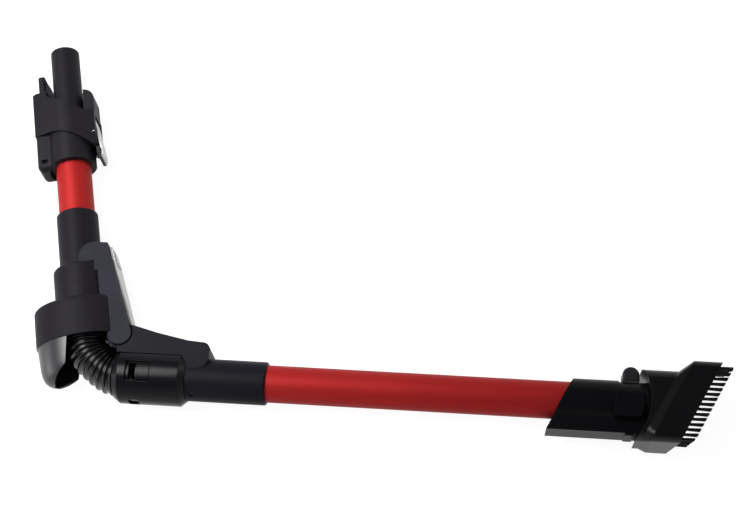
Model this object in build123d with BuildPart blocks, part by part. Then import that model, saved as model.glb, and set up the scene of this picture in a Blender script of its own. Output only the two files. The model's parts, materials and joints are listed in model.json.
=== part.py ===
import os
from math import cos, hypot, radians, sin, tan

from build123d import *

# Flexible vacuum wand: two tube sections joined by a sprung elbow with a
# corrugated hose, a suction coupling on top and a dusting brush at the end.
# While modelling, the hinge axis is Z through the origin and both tube axes
# lie in the plane Z = 0. The lower section runs along +X, and the upper one
# along +Y until it is turned to the bend of the elbow. Millimetres.

# Tubes
tube_radius = 17.5
tube_wall = 1.2
duct_radius = 16.0
lower_tube_length = 388.0
upper_tube_length = 168.0

# Elbow
bend_angle = 76.5
hinge_offset = 35.5
pin_radius = 3.0
boss_radius = 11.2
lug_radius = 10.0
lug_half_width = 14.2
arm_half_width = 21.3
saddle_half_width = 20.0
collar_radius = 20.3
collar_wall_fit = 0.15
fit = 0.2
running_gap = 0.4

# Hose and its cuffs
hose_radius = 21.0
hose_root_radius = 18.6
hose_bore_radius = 16.4
hose_ribs = 10
hose_end_length = 14.0
hose_rib_share = 0.55
cuff_radius = 23.6
cuff_start = 2.0
cuff_length = 40.0

# Lower socket ring and saddle
ring_radius = 26.0
ring_start = -1.0
ring_cover = 5.0
ring_chamfer = 5.5
ring_nose_drop = 4.0
ring_lip = 1.0
ring_seam_height = 17.0
cuff_play = 2.0
flange_length = 18.0
lower_duct_length = 30.0
lower_collar_grip = 68.0
saddle_run = 20.6
saddle_foot = 5.0
saddle_tip = (6.0, 45.6)
saddle_mid = (36.5, 37.7)
saddle_low = (66.0, 31.8)
saddle_back = 30.2
saddle_toe_round = 11.0
saddle_crown_round = 7.0
window_start = 12.0
window_length = 23.0
window_height = 19.0
window_centre = -2.0
window_tab_length = 11.5
window_corner = 1.5
tab_slot_offset = 5.0
tab_slot_width = 6.0
drain_window_start = 14.0
drain_window_length = 10.0
drain_window_half_width = 7.0
drain_window_corner = 2.0
collar_rim_round = 1.6

# Ears of the lug, behind the bosses of the arm
ear_radius = 13.2
ear_inner = 12.6

# Collar screws
screw_radius = 2.4
screw_depth = 2.4
screw_slot_length = 2.9
screw_slot_width = 0.85
screw_run = 7.0
screw_turn = 62.0

# Upper socket, shroud and tongue
upper_socket_start = 8.0
upper_socket_step = 38.0
upper_socket_top = 79.0
upper_socket_radius = 27.0
upper_socket_wall = 1.8
upper_socket_round = 2.5
cuff_rim = 1.6
upper_cuff_floor = 52.0
upper_duct_length = 20.0
upper_collar_end = 140.0
shroud_half_length = 44.7
shroud_half_width = 30.0
shroud_centre = -3.5
shroud_start = 3.0
shroud_height = 40.0
shroud_wall = 2.4
shroud_round = 6.0
shroud_right = 29.0
shroud_slot_room = 2.0
shroud_cut_margin = 1.0
tongue_wall = 1.8
tongue_edge = -12.5
tongue_rake = 5.6
tongue_room = 1.0
# Drop below the shroud, half length and half width of the bowl
tongue_bowl = ((-2.4, 43.5, 28.8), (17.0, 40.5, 26.3), (30.0, 34.5, 20.0), (38.5, 26.0, 9.5))

# Hinge arm and its trim
arm_head_radius = 15.2
arm_head_centre = (17.5, 83.5)
arm_stem_left = 20.0
arm_stem_rake = 5.0
pin_cover = 2.6
arm_face_low = (44.6, 9.0)
arm_face_high = (31.8, 95.5)
arm_fork_floor = 14.0
trim_thickness = 2.2
trim_low_half = 10.0
trim_high_half = 17.0
trim_top_gap = 1.0
trim_corner = 7.0
button_length = 14.0
button_half_width = 9.0
button_along = 75.5
button_proud = 1.0
button_depth = 4.5
button_corner = 2.0
button_travel = 2.5

# Coupling
coupling_collar_radius = 23.3
coupling_collar_length = 45.0
housing_radius = 25.2
housing_rise = 38.0
housing_block_right = 28.5
housing_block_half = 17.0
housing_brow_round = 11.0
channel_left = -33.0
channel_inner = -8.0
channel_half = 15.5
channel_rise = 40.0
channel_drop = 50.0
channel_corner = 5.0
channel_heel_round = 6.0
arch_drop_left = 11.0
arch_drop_mid = 16.0
arch_drop_right = 30.0
arch_mid_across = 2.6
arch_margin = 1.5
notch_half = 18.0
shoulder_half = 12.5
notch_rise_high = 32.0
notch_rise_low = 10.0
strap_window_across = -25.0
strap_window_drop = 41.0
strap_window_size = (6.0, 4.5)
strap_window_rise = 14.0

# Suction spigot
spigot_radius = 14.6
spigot_base_radius = 15.1
spigot_step_rise = 42.0
spigot_wall = 2.2
spigot_rise = 93.0
spigot_flange = 3.0
spigot_rim = 1.6

# Contact post
post_centre = -24.6
post_thickness = 7.0
post_half_width = 9.0
post_height = 24.0
post_corner = 2.0
post_crown_round = 1.5
blade_thickness = 1.2
blade_half_width = 1.8
blade_spacing = 9.0
blade_length = 12.0
blade_recess = 1.0

# Web between the contact post and the foot of the spigot
web_edge = -16.0
web_foot = 10.0
web_height = 19.0

# Coupling latch
latch_pin_across = 26.3
latch_pin_drop = 15.0
latch_pin_radius = 1.0
latch_pin_recess = 0.3
latch_inner = 24.3
latch_back = 27.2
latch_tip_inner = 27.6
latch_tip_outer = 30.8
latch_face_top = 25.8
latch_face_pin = 28.3
latch_face_paddle = 30.4
latch_face_toe = 31.3
latch_half_width = 11.0
latch_paddle_half = 14.0
latch_paddle_height = 9.0
latch_toe_height = 6.0
latch_back_height = 8.0
latch_back_below_pin = 4.0
latch_rise = 3.0
latch_drop = 40.5
latch_slot_sink = 2.0
latch_slot_room = 3.0
latch_cap_thickness = 1.7
latch_cap_half = 11.0

# End sleeve and its electrical channel
sleeve_radius = 20.9
sleeve_slant = 25.7
sleeve_overlap = 46.0
sleeve_shoulder_run = 4.0
sleeve_nose_radius = 19.9
sleeve_nose_length = 36.0
end_channel_depth = 31.0
end_channel_half = 12.0
end_channel_run = 26.0
end_cover_height = 4.6
cover_tab_drop = 1.8
cover_tab_length = 7.0
cover_tab_ramp = 1.0
cover_keel_round = 2.5
pad_half_height = 11.0
pad_centre = -7.0
pad_overlap = 5.5
pad_run = 22.0
pad_reach = 22.4
pad_rear_rake = 3.0
pad_front_rake = 1.0
pad_corner = 1.5
contact_length = 6.0
contact_drop = 2.5
contact_web = 1.0
contact_room = 1.0

# Tool button
tool_button_run = 11.5
tool_button_radius = 7.8
tool_button_half_width = 9.0
tool_button_top = 33.5
tool_button_base = 20.4
tool_button_travel = 2.5
tool_button_round = 2.0

# Brush
brush_slant = 27.0
neck_low = -38.0
neck_high = 29.7
neck_half = 24.0
flare_gap = 3.0
flare_length = 8.5
band_length = 25.8
band_low = -39.5
band_high = 38.6
band_half = 26.0
brush_wall = 3.0
lip_run_top = 20.5
lip_run_mid = 28.0
lip_run_bottom = 14.0
neck_corner = 14.0
band_corner = 9.0
rim_fall = 11.5
rim_fall_start = 18.0
brush_socket_gap = 1.0
throat_corner = 14.4
tuft_count = 14
tuft_length = 12.5
tuft_width = 3.0
tuft_depth = 2.8
tuft_row_share = 0.92
side_tuft_count = 4
strip_depth = 3.9
strip_recess = 1.0
strip_reach = 24.0
mouth_depth = 6.0

# Angles and places worked out from the sizes
upper_turn = 90.0 - bend_angle
lower_axis = Axis((0, -hinge_offset, 0), (1, 0, 0))
lower_side = Plane((0, -hinge_offset, 0))
lower_plan = Plane((0, -hinge_offset, 0), x_dir=(1, 0, 0), z_dir=(0, -1, 0))
upper_side = Plane((-hinge_offset, 0, 0))
brush_rise = (sin(radians(brush_slant)), cos(radians(brush_slant)), 0)
far = 1000.0

# The lower socket's places, from the end of the cuff outwards
ring_floor = cuff_start + cuff_length + cuff_play
flange_end = ring_floor + flange_length
ring_end = flange_end + ring_cover
saddle_end = ring_end + saddle_run
screw_along = ring_end + screw_run

# The lower tube's ends, and what stands along it from its far end
tube_seat = ring_floor + lower_duct_length
lower_collar_end = tube_seat + lower_collar_grip
tube_end = tube_seat + lower_tube_length
sleeve_start = tube_end - sleeve_overlap
sleeve_shoulder = tube_end + sleeve_shoulder_run
sleeve_nose_end = sleeve_shoulder + sleeve_nose_length
end_channel_end = sleeve_shoulder + end_channel_run
pad_start = sleeve_shoulder - pad_overlap
pad_end = sleeve_shoulder + pad_run
tool_button_along = sleeve_shoulder + tool_button_run
lip_top = sleeve_shoulder + lip_run_top
lip_mid = sleeve_shoulder + lip_run_mid
lip_bottom = sleeve_shoulder + lip_run_bottom
brush_socket_end = sleeve_nose_end + brush_socket_gap
flare_start = sleeve_nose_end + flare_gap
band_start = flare_start + flare_length
band_end = band_start + band_length

# The upper tube's ends, and what stands along it from its top
upper_tube_seat = upper_cuff_floor + upper_duct_length
upper_tube_top = upper_tube_seat + upper_tube_length
coupling_collar_start = upper_tube_top - coupling_collar_length
flange_seat = upper_tube_top + fit
housing_ceiling = flange_seat + spigot_flange + 3 * fit
housing_top = upper_tube_top + housing_rise
channel_bottom = upper_tube_top - channel_drop
channel_top = upper_tube_top + channel_rise
arch_left = upper_tube_top - arch_drop_left
arch_mid = upper_tube_top - arch_drop_mid
arch_right = upper_tube_top - arch_drop_right
arch_side = -channel_half - arch_margin
notch_high = upper_tube_top + notch_rise_high
notch_low = upper_tube_top + notch_rise_low
strap_window = (strap_window_across, upper_tube_top - strap_window_drop)
spigot_step = upper_tube_top + spigot_step_rise
spigot_top = upper_tube_top + spigot_rise
latch_pin = (latch_pin_across, upper_tube_top - latch_pin_drop)
latch_top = upper_tube_top + latch_rise
latch_bottom = upper_tube_top - latch_drop


def across_lower(along):
    """Plane square to the lower tube: local x is +Y and local y is +Z."""
    return Plane((along, -hinge_offset, 0), x_dir=(0, 1, 0), z_dir=(1, 0, 0))


def across_upper(along):
    """Plane square to the upper tube: local x points to the inside of the bend."""
    return Plane((-hinge_offset, along, 0), x_dir=(1, 0, 0), z_dir=(0, 1, 0))


def across_brush(along):
    """Plane on the slant of the brush: local x runs up the slant, local y is +Z."""
    lean = radians(brush_slant)
    return Plane(
        (along, -hinge_offset, 0),
        x_dir=(sin(lean), cos(lean), 0),
        z_dir=(cos(lean), -sin(lean), 0),
    )


# Lower section

with BuildPart() as lower_tube:
    with BuildSketch(across_lower(tube_seat)):
        Circle(tube_radius)
        Circle(tube_radius - tube_wall, mode=Mode.SUBTRACT)
    extrude(amount=lower_tube_length)

# Saddle: flange, long collar and the hinge lug in one moulding
pocket_radius = boss_radius + 3 * running_gap

with BuildPart() as hinge_saddle:
    with BuildSketch(across_lower(ring_floor)):
        Circle(cuff_radius)
    extrude(amount=flange_length)
    with BuildSketch(across_lower(flange_end)):
        Circle(collar_radius)
    extrude(amount=lower_collar_end - flange_end)
    rim = hinge_saddle.faces().sort_by(Axis.X)[-1].edges()
    fillet(rim, radius=collar_rim_round)
    with BuildSketch(lower_side) as foot_outline:
        with BuildLine():
            Polyline(
                (flange_end - ring_chamfer, saddle_foot),
                (saddle_end, saddle_foot),
                (saddle_end, ring_seam_height),
                (flange_end - ring_chamfer, ring_seam_height),
                close=True,
            )
        make_face()
        toe = foot_outline.vertices().group_by(Axis.X)[-1].sort_by(Axis.Y)[0]
        fillet(toe, radius=saddle_toe_round)
    extrude(amount=saddle_half_width, both=True)
    with BuildSketch(lower_side):
        with BuildLine():
            Polyline(
                (flange_end - 2 * ring_chamfer, cuff_radius),
                (flange_end - 2 * ring_chamfer, ring_radius + ring_chamfer),
                (ring_end - ring_chamfer + fit, ring_radius + ring_chamfer),
                (ring_end - ring_chamfer + fit, ring_radius + fit),
                (ring_end + fit, collar_radius + ring_lip + fit),
                (ring_end + fit, collar_radius),
                (flange_end, collar_radius),
                (flange_end, cuff_radius),
                close=True,
            )
        make_face()
    revolve(axis=lower_axis, mode=Mode.SUBTRACT)
    with BuildSketch(lower_side) as saddle_outline:
        with BuildLine():
            Polyline(
                (0, ring_seam_height),
                (saddle_end, ring_seam_height),
                (saddle_end, saddle_back),
                saddle_low,
                saddle_mid,
                saddle_tip,
                (0, hinge_offset + lug_radius),
                close=True,
            )
        make_face()
        crown = saddle_outline.vertices().group_by(Axis.X)[-1].sort_by(Axis.Y)[-1]
        fillet(crown, radius=saddle_crown_round)
    extrude(amount=saddle_half_width, both=True)
    with BuildSketch(lower_side):
        with Locations((0, hinge_offset)):
            Circle(lug_radius)
    extrude(amount=lug_half_width, both=True)
    for side in (1, -1):
        with BuildSketch(lower_side.offset(side * ear_inner)):
            with Locations((0, hinge_offset)):
                Circle(ear_radius)
        extrude(amount=side * (lug_half_width - ear_inner))
    with BuildSketch(across_lower(-far / 10)):
        Circle(cuff_radius + fit)
    extrude(amount=far / 10 + ring_floor, mode=Mode.SUBTRACT)
    with BuildSketch(across_lower(ring_floor)):
        Circle(duct_radius)
    extrude(amount=lower_duct_length, mode=Mode.SUBTRACT)
    with BuildSketch(across_lower(tube_seat)):
        Circle(tube_radius + collar_wall_fit)
    extrude(amount=lower_collar_end - tube_seat, mode=Mode.SUBTRACT)
    for side in (1, -1):
        with BuildSketch(lower_side.offset(side * (lug_half_width))):
            with Locations((0, hinge_offset)):
                Circle(pocket_radius)
        extrude(amount=side * saddle_half_width, mode=Mode.SUBTRACT)
    with BuildSketch(lower_side):
        with Locations((0, hinge_offset)):
            Circle(pin_radius + fit)
    extrude(amount=far, both=True, mode=Mode.SUBTRACT)
    for turn in (screw_turn, 180 - screw_turn):
        direction = (0, -sin(radians(turn)), cos(radians(turn)))
        seat = collar_radius - screw_depth
        with BuildSketch(
            Plane(
                (screw_along, -hinge_offset + seat * direction[1], seat * direction[2]),
                z_dir=direction,
            )
        ):
            Circle(screw_radius + fit)
        extrude(amount=2 * screw_depth, mode=Mode.SUBTRACT)

with BuildPart() as socket_ring:
    with BuildSketch(lower_side):
        with BuildLine():
            Polyline(
                (ring_start, hose_radius + running_gap),
                (ring_start, ring_radius - ring_nose_drop),
                (ring_start + ring_chamfer, ring_radius),
                (ring_end - ring_chamfer, ring_radius),
                (ring_end, collar_radius + ring_lip),
                (ring_end, collar_radius + fit),
                (flange_end + fit, collar_radius + fit),
                (flange_end + fit, cuff_radius + fit),
                (cuff_start - fit, cuff_radius + fit),
                (cuff_start - fit, hose_radius + running_gap),
                close=True,
            )
        make_face()
    revolve(axis=lower_axis)
    with BuildSketch(lower_side):
        with Locations((0, ring_seam_height - fit)):
            Rectangle(far, far, align=(Align.CENTER, Align.MIN))
    extrude(amount=far, both=True, mode=Mode.SUBTRACT)
    with BuildSketch(lower_side):
        with Locations((window_start + window_length / 2, window_centre)):
            RectangleRounded(window_length, window_height, window_corner)
    extrude(amount=far, both=True, mode=Mode.SUBTRACT)
    with BuildSketch(Plane((0, -hinge_offset, 0), x_dir=(1, 0, 0), z_dir=(0, -1, 0))):
        with Locations((drain_window_start + drain_window_length / 2, 0)):
            RectangleRounded(
                drain_window_length, 2 * drain_window_half_width, drain_window_corner
            )
    extrude(amount=far, mode=Mode.SUBTRACT)

with BuildPart() as hose_lower_cuff:
    with BuildSketch(across_lower(cuff_start)):
        Circle(cuff_radius)
    extrude(amount=cuff_length)
    tab_start = window_start + window_length - window_tab_length - running_gap
    with BuildSketch(across_lower(tab_start)):
        Circle(ring_radius - fit)
        with Locations((window_centre, 0)):
            Rectangle(window_height - 2 * window_corner, far, mode=Mode.INTERSECT)
    extrude(amount=window_tab_length)
    with BuildSketch(across_lower(cuff_start)):
        Circle(hose_radius + fit)
    extrude(amount=hose_end_length, mode=Mode.SUBTRACT)
    with BuildSketch(across_lower(cuff_start)):
        Circle(duct_radius)
    extrude(amount=cuff_length, mode=Mode.SUBTRACT)
    with BuildSketch(lower_side):
        with Locations((tab_start - tab_slot_offset, window_centre)):
            Rectangle(tab_slot_width, window_height - 2 * window_corner)
    extrude(amount=far, both=True, mode=Mode.SUBTRACT)

# Corrugated hose: ribs revolved about the hinge axis, with straight ends
rib_pitch_angle = bend_angle / hose_ribs
rib_pitch = radians(rib_pitch_angle) * hinge_offset
end_ribs = int((hose_end_length + cuff_start - fit) / rib_pitch)
hose_reach = hose_end_length + cuff_start - fit


def hose_plane(angle):
    """Plane across the hose, turned about the hinge from its lower end."""
    turn = radians(angle)
    return Plane(
        (-hinge_offset * sin(turn), -hinge_offset * cos(turn), 0),
        x_dir=(sin(turn), cos(turn), 0),
        z_dir=(cos(turn), -sin(turn), 0),
    )


with BuildPart() as hose:
    with BuildSketch(hose_plane(0)):
        Circle(hose_root_radius)
    extrude(amount=hose_reach)
    with BuildSketch(hose_plane(bend_angle)):
        Circle(hose_root_radius)
    extrude(amount=-hose_reach)
    with BuildSketch(hose_plane(0)):
        Circle(hose_root_radius)
    revolve(axis=Axis.Z, revolution_arc=-bend_angle)
    for rib in range(hose_ribs):
        with BuildSketch(hose_plane((rib + 0.5 - hose_rib_share / 2) * rib_pitch_angle)):
            Circle(hose_radius)
        revolve(axis=Axis.Z, revolution_arc=-hose_rib_share * rib_pitch_angle)
    for rib in range(end_ribs):
        start = (rib + 0.5 - hose_rib_share / 2) * rib_pitch
        with BuildSketch(hose_plane(0).offset(start)):
            Circle(hose_radius)
        extrude(amount=hose_rib_share * rib_pitch)
        with BuildSketch(hose_plane(bend_angle).offset(-start)):
            Circle(hose_radius)
        extrude(amount=-hose_rib_share * rib_pitch)
    with BuildSketch(hose_plane(0)):
        Circle(hose_bore_radius)
    extrude(amount=far, mode=Mode.SUBTRACT)
    with BuildSketch(hose_plane(bend_angle)):
        Circle(hose_bore_radius)
    extrude(amount=-far, mode=Mode.SUBTRACT)
    with BuildSketch(hose_plane(0)):
        Circle(hose_bore_radius)
    revolve(axis=Axis.Z, revolution_arc=-bend_angle, mode=Mode.SUBTRACT)

screws = []
for turn in (screw_turn, 180 - screw_turn):
    direction = (0, -sin(radians(turn)), cos(radians(turn)))
    seat = collar_radius - screw_depth
    with BuildPart() as screw:
        with BuildSketch(
            Plane(
                (screw_along, -hinge_offset + seat * direction[1], seat * direction[2]),
                z_dir=direction,
            )
        ):
            Circle(screw_radius)
        extrude(amount=screw_depth / 2)
        head = screw.faces().sort_by(Axis((0, 0, 0), direction))[-1]
        with BuildSketch(Plane(head)):
            Rectangle(screw_slot_length, screw_slot_width)
            Rectangle(screw_slot_width, screw_slot_length)
        extrude(amount=-screw_depth / 4, mode=Mode.SUBTRACT)
    screws.append(screw)

# End sleeve with its slanted rear edge, side pads and electrical channel
slant = tan(radians(sleeve_slant))
end_cover_top = -end_channel_depth + end_cover_height

with BuildPart() as end_sleeve:
    rear = sleeve_start - end_channel_depth
    with BuildSketch(across_lower(rear)):
        Circle(sleeve_radius)
        with Locations((end_cover_top + fit, 0)):
            Rectangle(
                -end_cover_top, 2 * end_channel_half, align=(Align.MIN, Align.CENTER)
            )
    extrude(amount=sleeve_shoulder - rear)
    with BuildSketch(across_lower(sleeve_shoulder)):
        with Locations((end_cover_top + fit, 0)):
            Rectangle(
                -end_cover_top, 2 * end_channel_half, align=(Align.MIN, Align.CENTER)
            )
    extrude(amount=end_channel_end - sleeve_shoulder)
    with BuildSketch(across_lower(sleeve_shoulder)):
        Circle(sleeve_nose_radius)
    extrude(amount=sleeve_nose_end - sleeve_shoulder)
    with BuildSketch(lower_side) as pad_outline:
        with BuildLine():
            Polyline(
                (pad_start + pad_rear_rake, pad_centre + pad_half_height),
                (pad_end - pad_front_rake, pad_centre + pad_half_height),
                (pad_end, pad_centre),
                (pad_end - pad_rear_rake, pad_centre - pad_half_height),
                (pad_start, pad_centre - pad_half_height),
                close=True,
            )
        make_face()
        fillet(pad_outline.vertices(), radius=pad_corner)
    extrude(amount=pad_reach, both=True)
    with BuildSketch(lower_side):
        with BuildLine():
            Polyline(
                (sleeve_start + far * slant, far),
                (sleeve_start - far * slant, -far),
                (sleeve_start - far * slant - far, -far),
                (sleeve_start - far * slant - far, far),
                close=True,
            )
        make_face()
    extrude(amount=far, both=True, mode=Mode.SUBTRACT)
    with BuildSketch(across_lower(0)):
        Circle(tube_radius + collar_wall_fit)
    extrude(amount=tube_end, mode=Mode.SUBTRACT)
    with BuildSketch(across_lower(tube_end)):
        Circle(duct_radius)
    extrude(amount=far, mode=Mode.SUBTRACT)
    with BuildSketch(lower_side):
        with Locations((tool_button_along, tool_button_base - tool_button_travel - fit)):
            Rectangle(
                2 * (tool_button_radius + running_gap),
                far,
                align=(Align.CENTER, Align.MIN),
            )
    extrude(amount=tool_button_half_width + running_gap, both=True, mode=Mode.SUBTRACT)

with BuildPart() as end_channel_cover:
    with BuildSketch(lower_side) as cover_outline:
        rear_top = sleeve_start + end_cover_top * slant
        rear_bottom = sleeve_start - end_channel_depth * slant
        tab_end = lip_bottom - 2 * running_gap
        with BuildLine():
            Polyline(
                (rear_top, end_cover_top),
                (end_channel_end, end_cover_top),
                (end_channel_end, -end_channel_depth),
                (tab_end, -end_channel_depth),
                (tab_end, -end_channel_depth - cover_tab_drop),
                (tab_end - cover_tab_length, -end_channel_depth - cover_tab_drop),
                (tab_end - cover_tab_length - cover_tab_ramp, -end_channel_depth),
                (rear_bottom, -end_channel_depth),
                close=True,
            )
        make_face()
    extrude(amount=end_channel_half, both=True)
    keel = end_channel_cover.edges().filter_by(Axis.X).group_by(Axis.Y)[0]
    fillet(keel, radius=cover_keel_round)

with BuildPart() as end_contacts:
    with BuildSketch(across_lower(end_channel_end)):
        with Locations((-sleeve_nose_radius - contact_drop, 0)):
            with GridLocations(1, blade_spacing, 1, 2):
                Rectangle(blade_thickness, 2 * blade_half_width)
            Rectangle(blade_thickness, blade_spacing)
    extrude(amount=contact_web)
    with BuildSketch(across_lower(end_channel_end)):
        with Locations((-sleeve_nose_radius - contact_drop, 0)):
            with GridLocations(1, blade_spacing, 1, 2):
                Rectangle(blade_thickness, 2 * blade_half_width)
    extrude(amount=contact_length)

with BuildPart() as tool_button:
    with BuildSketch(lower_side):
        dome = tool_button_top - tool_button_radius
        left_side = tool_button_along - tool_button_radius
        right_side = tool_button_along + tool_button_radius
        with BuildLine():
            Polyline(
                (left_side, dome),
                (left_side, tool_button_base),
                (right_side, tool_button_base),
                (right_side, dome),
            )
            ThreePointArc(
                (right_side, dome), (tool_button_along, tool_button_top), (left_side, dome)
            )
        make_face()
    extrude(amount=tool_button_half_width, both=True)
    ends = tool_button.faces().filter_by(Axis.Z).edges().filter_by(GeomType.CIRCLE)
    fillet(ends, radius=tool_button_round)

# Brush: neck, flare and slanted mouth
lean = cos(radians(brush_slant))
neck_height = (neck_high - neck_low) / lean
neck_middle = (neck_high + neck_low) / 2 / lean
band_height = (band_high - band_low) / lean
band_middle = (band_high + band_low) / 2 / lean
mouth_height = band_height - 2 * brush_wall
mouth_half = band_half - brush_wall

# The rim of the mouth falls away towards the far side
with BuildPart() as rim_cut:
    fall = tan(radians(rim_fall))
    with BuildSketch(lower_plan):
        with BuildLine():
            Polyline(
                (band_end, rim_fall_start),
                (band_end + far / 10, rim_fall_start),
                (band_end + far / 10, -2 * band_half),
                (band_end - fall * (rim_fall_start + 2 * band_half), -2 * band_half),
                close=True,
            )
        make_face()
    extrude(amount=far / 10, both=True, dir=brush_rise)

with BuildPart() as brush_nozzle:
    with BuildSketch(across_brush(flare_start)):
        with Locations((neck_middle, 0)):
            RectangleRounded(neck_height, 2 * neck_half, neck_corner)
    extrude(amount=-far / 10, dir=(1, 0, 0))
    with BuildSketch(across_brush(flare_start)):
        with Locations((neck_middle, 0)):
            RectangleRounded(neck_height, 2 * neck_half, neck_corner)
    with BuildSketch(across_brush(band_start)):
        with Locations((band_middle, 0)):
            RectangleRounded(band_height, 2 * band_half, band_corner)
    loft(ruled=True)
    with BuildSketch(across_brush(band_start)):
        with Locations((band_middle, 0)):
            RectangleRounded(band_height, 2 * band_half, band_corner)
    extrude(amount=band_end - band_start, dir=(1, 0, 0))
    with BuildSketch(lower_side):
        with BuildLine():
            ThreePointArc((lip_top, neck_high), (lip_mid, 0), (lip_bottom, neck_low))
            Polyline(
                (lip_bottom, neck_low),
                (lip_bottom, neck_low - far / 10),
                (lip_bottom - far, neck_low - far / 10),
                (lip_bottom - far, neck_high + far / 10),
                (lip_top, neck_high + far / 10),
                (lip_top, neck_high),
            )
        make_face()
    extrude(amount=far, both=True, mode=Mode.SUBTRACT)
    with BuildSketch(across_lower(0)):
        Circle(sleeve_nose_radius + running_gap)
    extrude(amount=brush_socket_end, mode=Mode.SUBTRACT)
    with BuildSketch(across_lower(0)):
        with Locations((-end_channel_depth - cover_tab_drop - running_gap, 0)):
            Rectangle(
                end_channel_depth,
                2 * (end_channel_half + running_gap),
                align=(Align.MIN, Align.CENTER),
            )
    extrude(amount=end_channel_end + contact_length + contact_room, mode=Mode.SUBTRACT)
    with BuildSketch(across_lower(brush_socket_end)):
        RectangleRounded(2 * duct_radius, 2 * duct_radius, throat_corner)
    with BuildSketch(across_brush(band_end - mouth_depth)):
        with Locations((band_middle, 0)):
            RectangleRounded(mouth_height, 2 * mouth_half, band_corner - brush_wall)
    loft(ruled=True, mode=Mode.SUBTRACT)
    with BuildSketch(across_brush(band_end - mouth_depth)):
        with Locations((band_middle, 0)):
            RectangleRounded(mouth_height, 2 * mouth_half, band_corner - brush_wall)
    extrude(amount=far / 10, dir=(1, 0, 0), mode=Mode.SUBTRACT)
    add(rim_cut.part, mode=Mode.SUBTRACT)

# Bristle strip: a U of tufts round three sides of the mouth
row_half = mouth_height / 2 - fit - strip_depth / 2
row_side = mouth_half - fit - strip_depth / 2
tuft_pitch = 2 * row_half / (tuft_count - 1)
strip_corner = band_corner - brush_wall

with BuildPart() as bristles:
    with BuildSketch(across_brush(band_end - mouth_depth + fit)):
        with Locations((band_middle, row_side)):
            Rectangle(2 * (mouth_height / 2 - strip_corner), strip_depth)
        for end in (1, -1):
            with Locations((band_middle + end * row_half, mouth_half - strip_corner)):
                Rectangle(strip_depth, strip_reach, align=(Align.CENTER, Align.MAX))
            with Locations(
                (band_middle + end * (row_half - strip_corner / 2), row_side - strip_corner / 2)
            ):
                Rectangle(strip_depth + strip_corner / 2 - fit, strip_depth + strip_corner / 2 - fit)
    extrude(amount=mouth_depth - strip_recess, dir=(1, 0, 0))
    add(rim_cut.part.moved(Location((-strip_recess, 0, 0))), mode=Mode.SUBTRACT)
    with BuildSketch(across_brush(band_end - mouth_depth + fit)):
        with Locations((band_middle, row_side)):
            with GridLocations(tuft_pitch * tuft_row_share, 1, tuft_count, 1):
                Rectangle(tuft_width, tuft_depth)
        for end in (1, -1):
            for tuft in range(side_tuft_count):
                with Locations(
                    (band_middle + end * row_half, row_side - (tuft + 1) * tuft_pitch)
                ):
                    Rectangle(tuft_depth, tuft_width)
    extrude(amount=mouth_depth - fit + tuft_length, dir=(1, 0, 0))
    add(rim_cut.part.moved(Location((tuft_length, 0, 0))), mode=Mode.SUBTRACT)

# Upper section, modelled upright along +Y

with BuildPart() as upper_tube:
    with BuildSketch(across_upper(upper_tube_seat)):
        Circle(tube_radius)
        Circle(tube_radius - tube_wall, mode=Mode.SUBTRACT)
    extrude(amount=upper_tube_length)

with BuildPart() as upper_socket:
    with BuildSketch(across_upper(upper_socket_start)):
        Circle(cuff_radius + fit + upper_socket_wall)
    extrude(amount=upper_socket_step - upper_socket_start)
    with BuildSketch(across_upper(upper_socket_step)):
        Circle(upper_socket_radius)
    extrude(amount=upper_socket_top - upper_socket_step)
    shoulder = upper_socket.faces().sort_by(Axis.Y)[-1].edges()
    fillet(shoulder, radius=upper_socket_round)
    with BuildSketch(across_upper(upper_socket_top)):
        Circle(collar_radius)
    extrude(amount=upper_collar_end - upper_socket_top)
    rim = upper_socket.faces().sort_by(Axis.Y)[-1].edges()
    fillet(rim, radius=collar_rim_round)
    with BuildSketch(across_upper(upper_socket_start)):
        Circle(cuff_radius + fit)
    extrude(amount=upper_cuff_floor - upper_socket_start, mode=Mode.SUBTRACT)
    with BuildSketch(across_upper(upper_cuff_floor)):
        Circle(duct_radius)
    extrude(amount=upper_duct_length, mode=Mode.SUBTRACT)
    with BuildSketch(across_upper(upper_tube_seat)):
        Circle(tube_radius + collar_wall_fit)
    extrude(amount=upper_collar_end - upper_tube_seat, mode=Mode.SUBTRACT)

with BuildPart() as hose_upper_cuff:
    with BuildSketch(across_upper(cuff_start)):
        Circle(cuff_radius + cuff_rim)
    extrude(amount=upper_socket_start - cuff_start - fit)
    with BuildSketch(across_upper(upper_socket_start - fit)):
        Circle(cuff_radius)
    extrude(amount=cuff_length - upper_socket_start)
    with BuildSketch(across_upper(cuff_start)):
        Circle(hose_radius + fit)
    extrude(amount=hose_end_length, mode=Mode.SUBTRACT)
    with BuildSketch(across_upper(cuff_start)):
        Circle(duct_radius)
    extrude(amount=far, mode=Mode.SUBTRACT)

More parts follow.
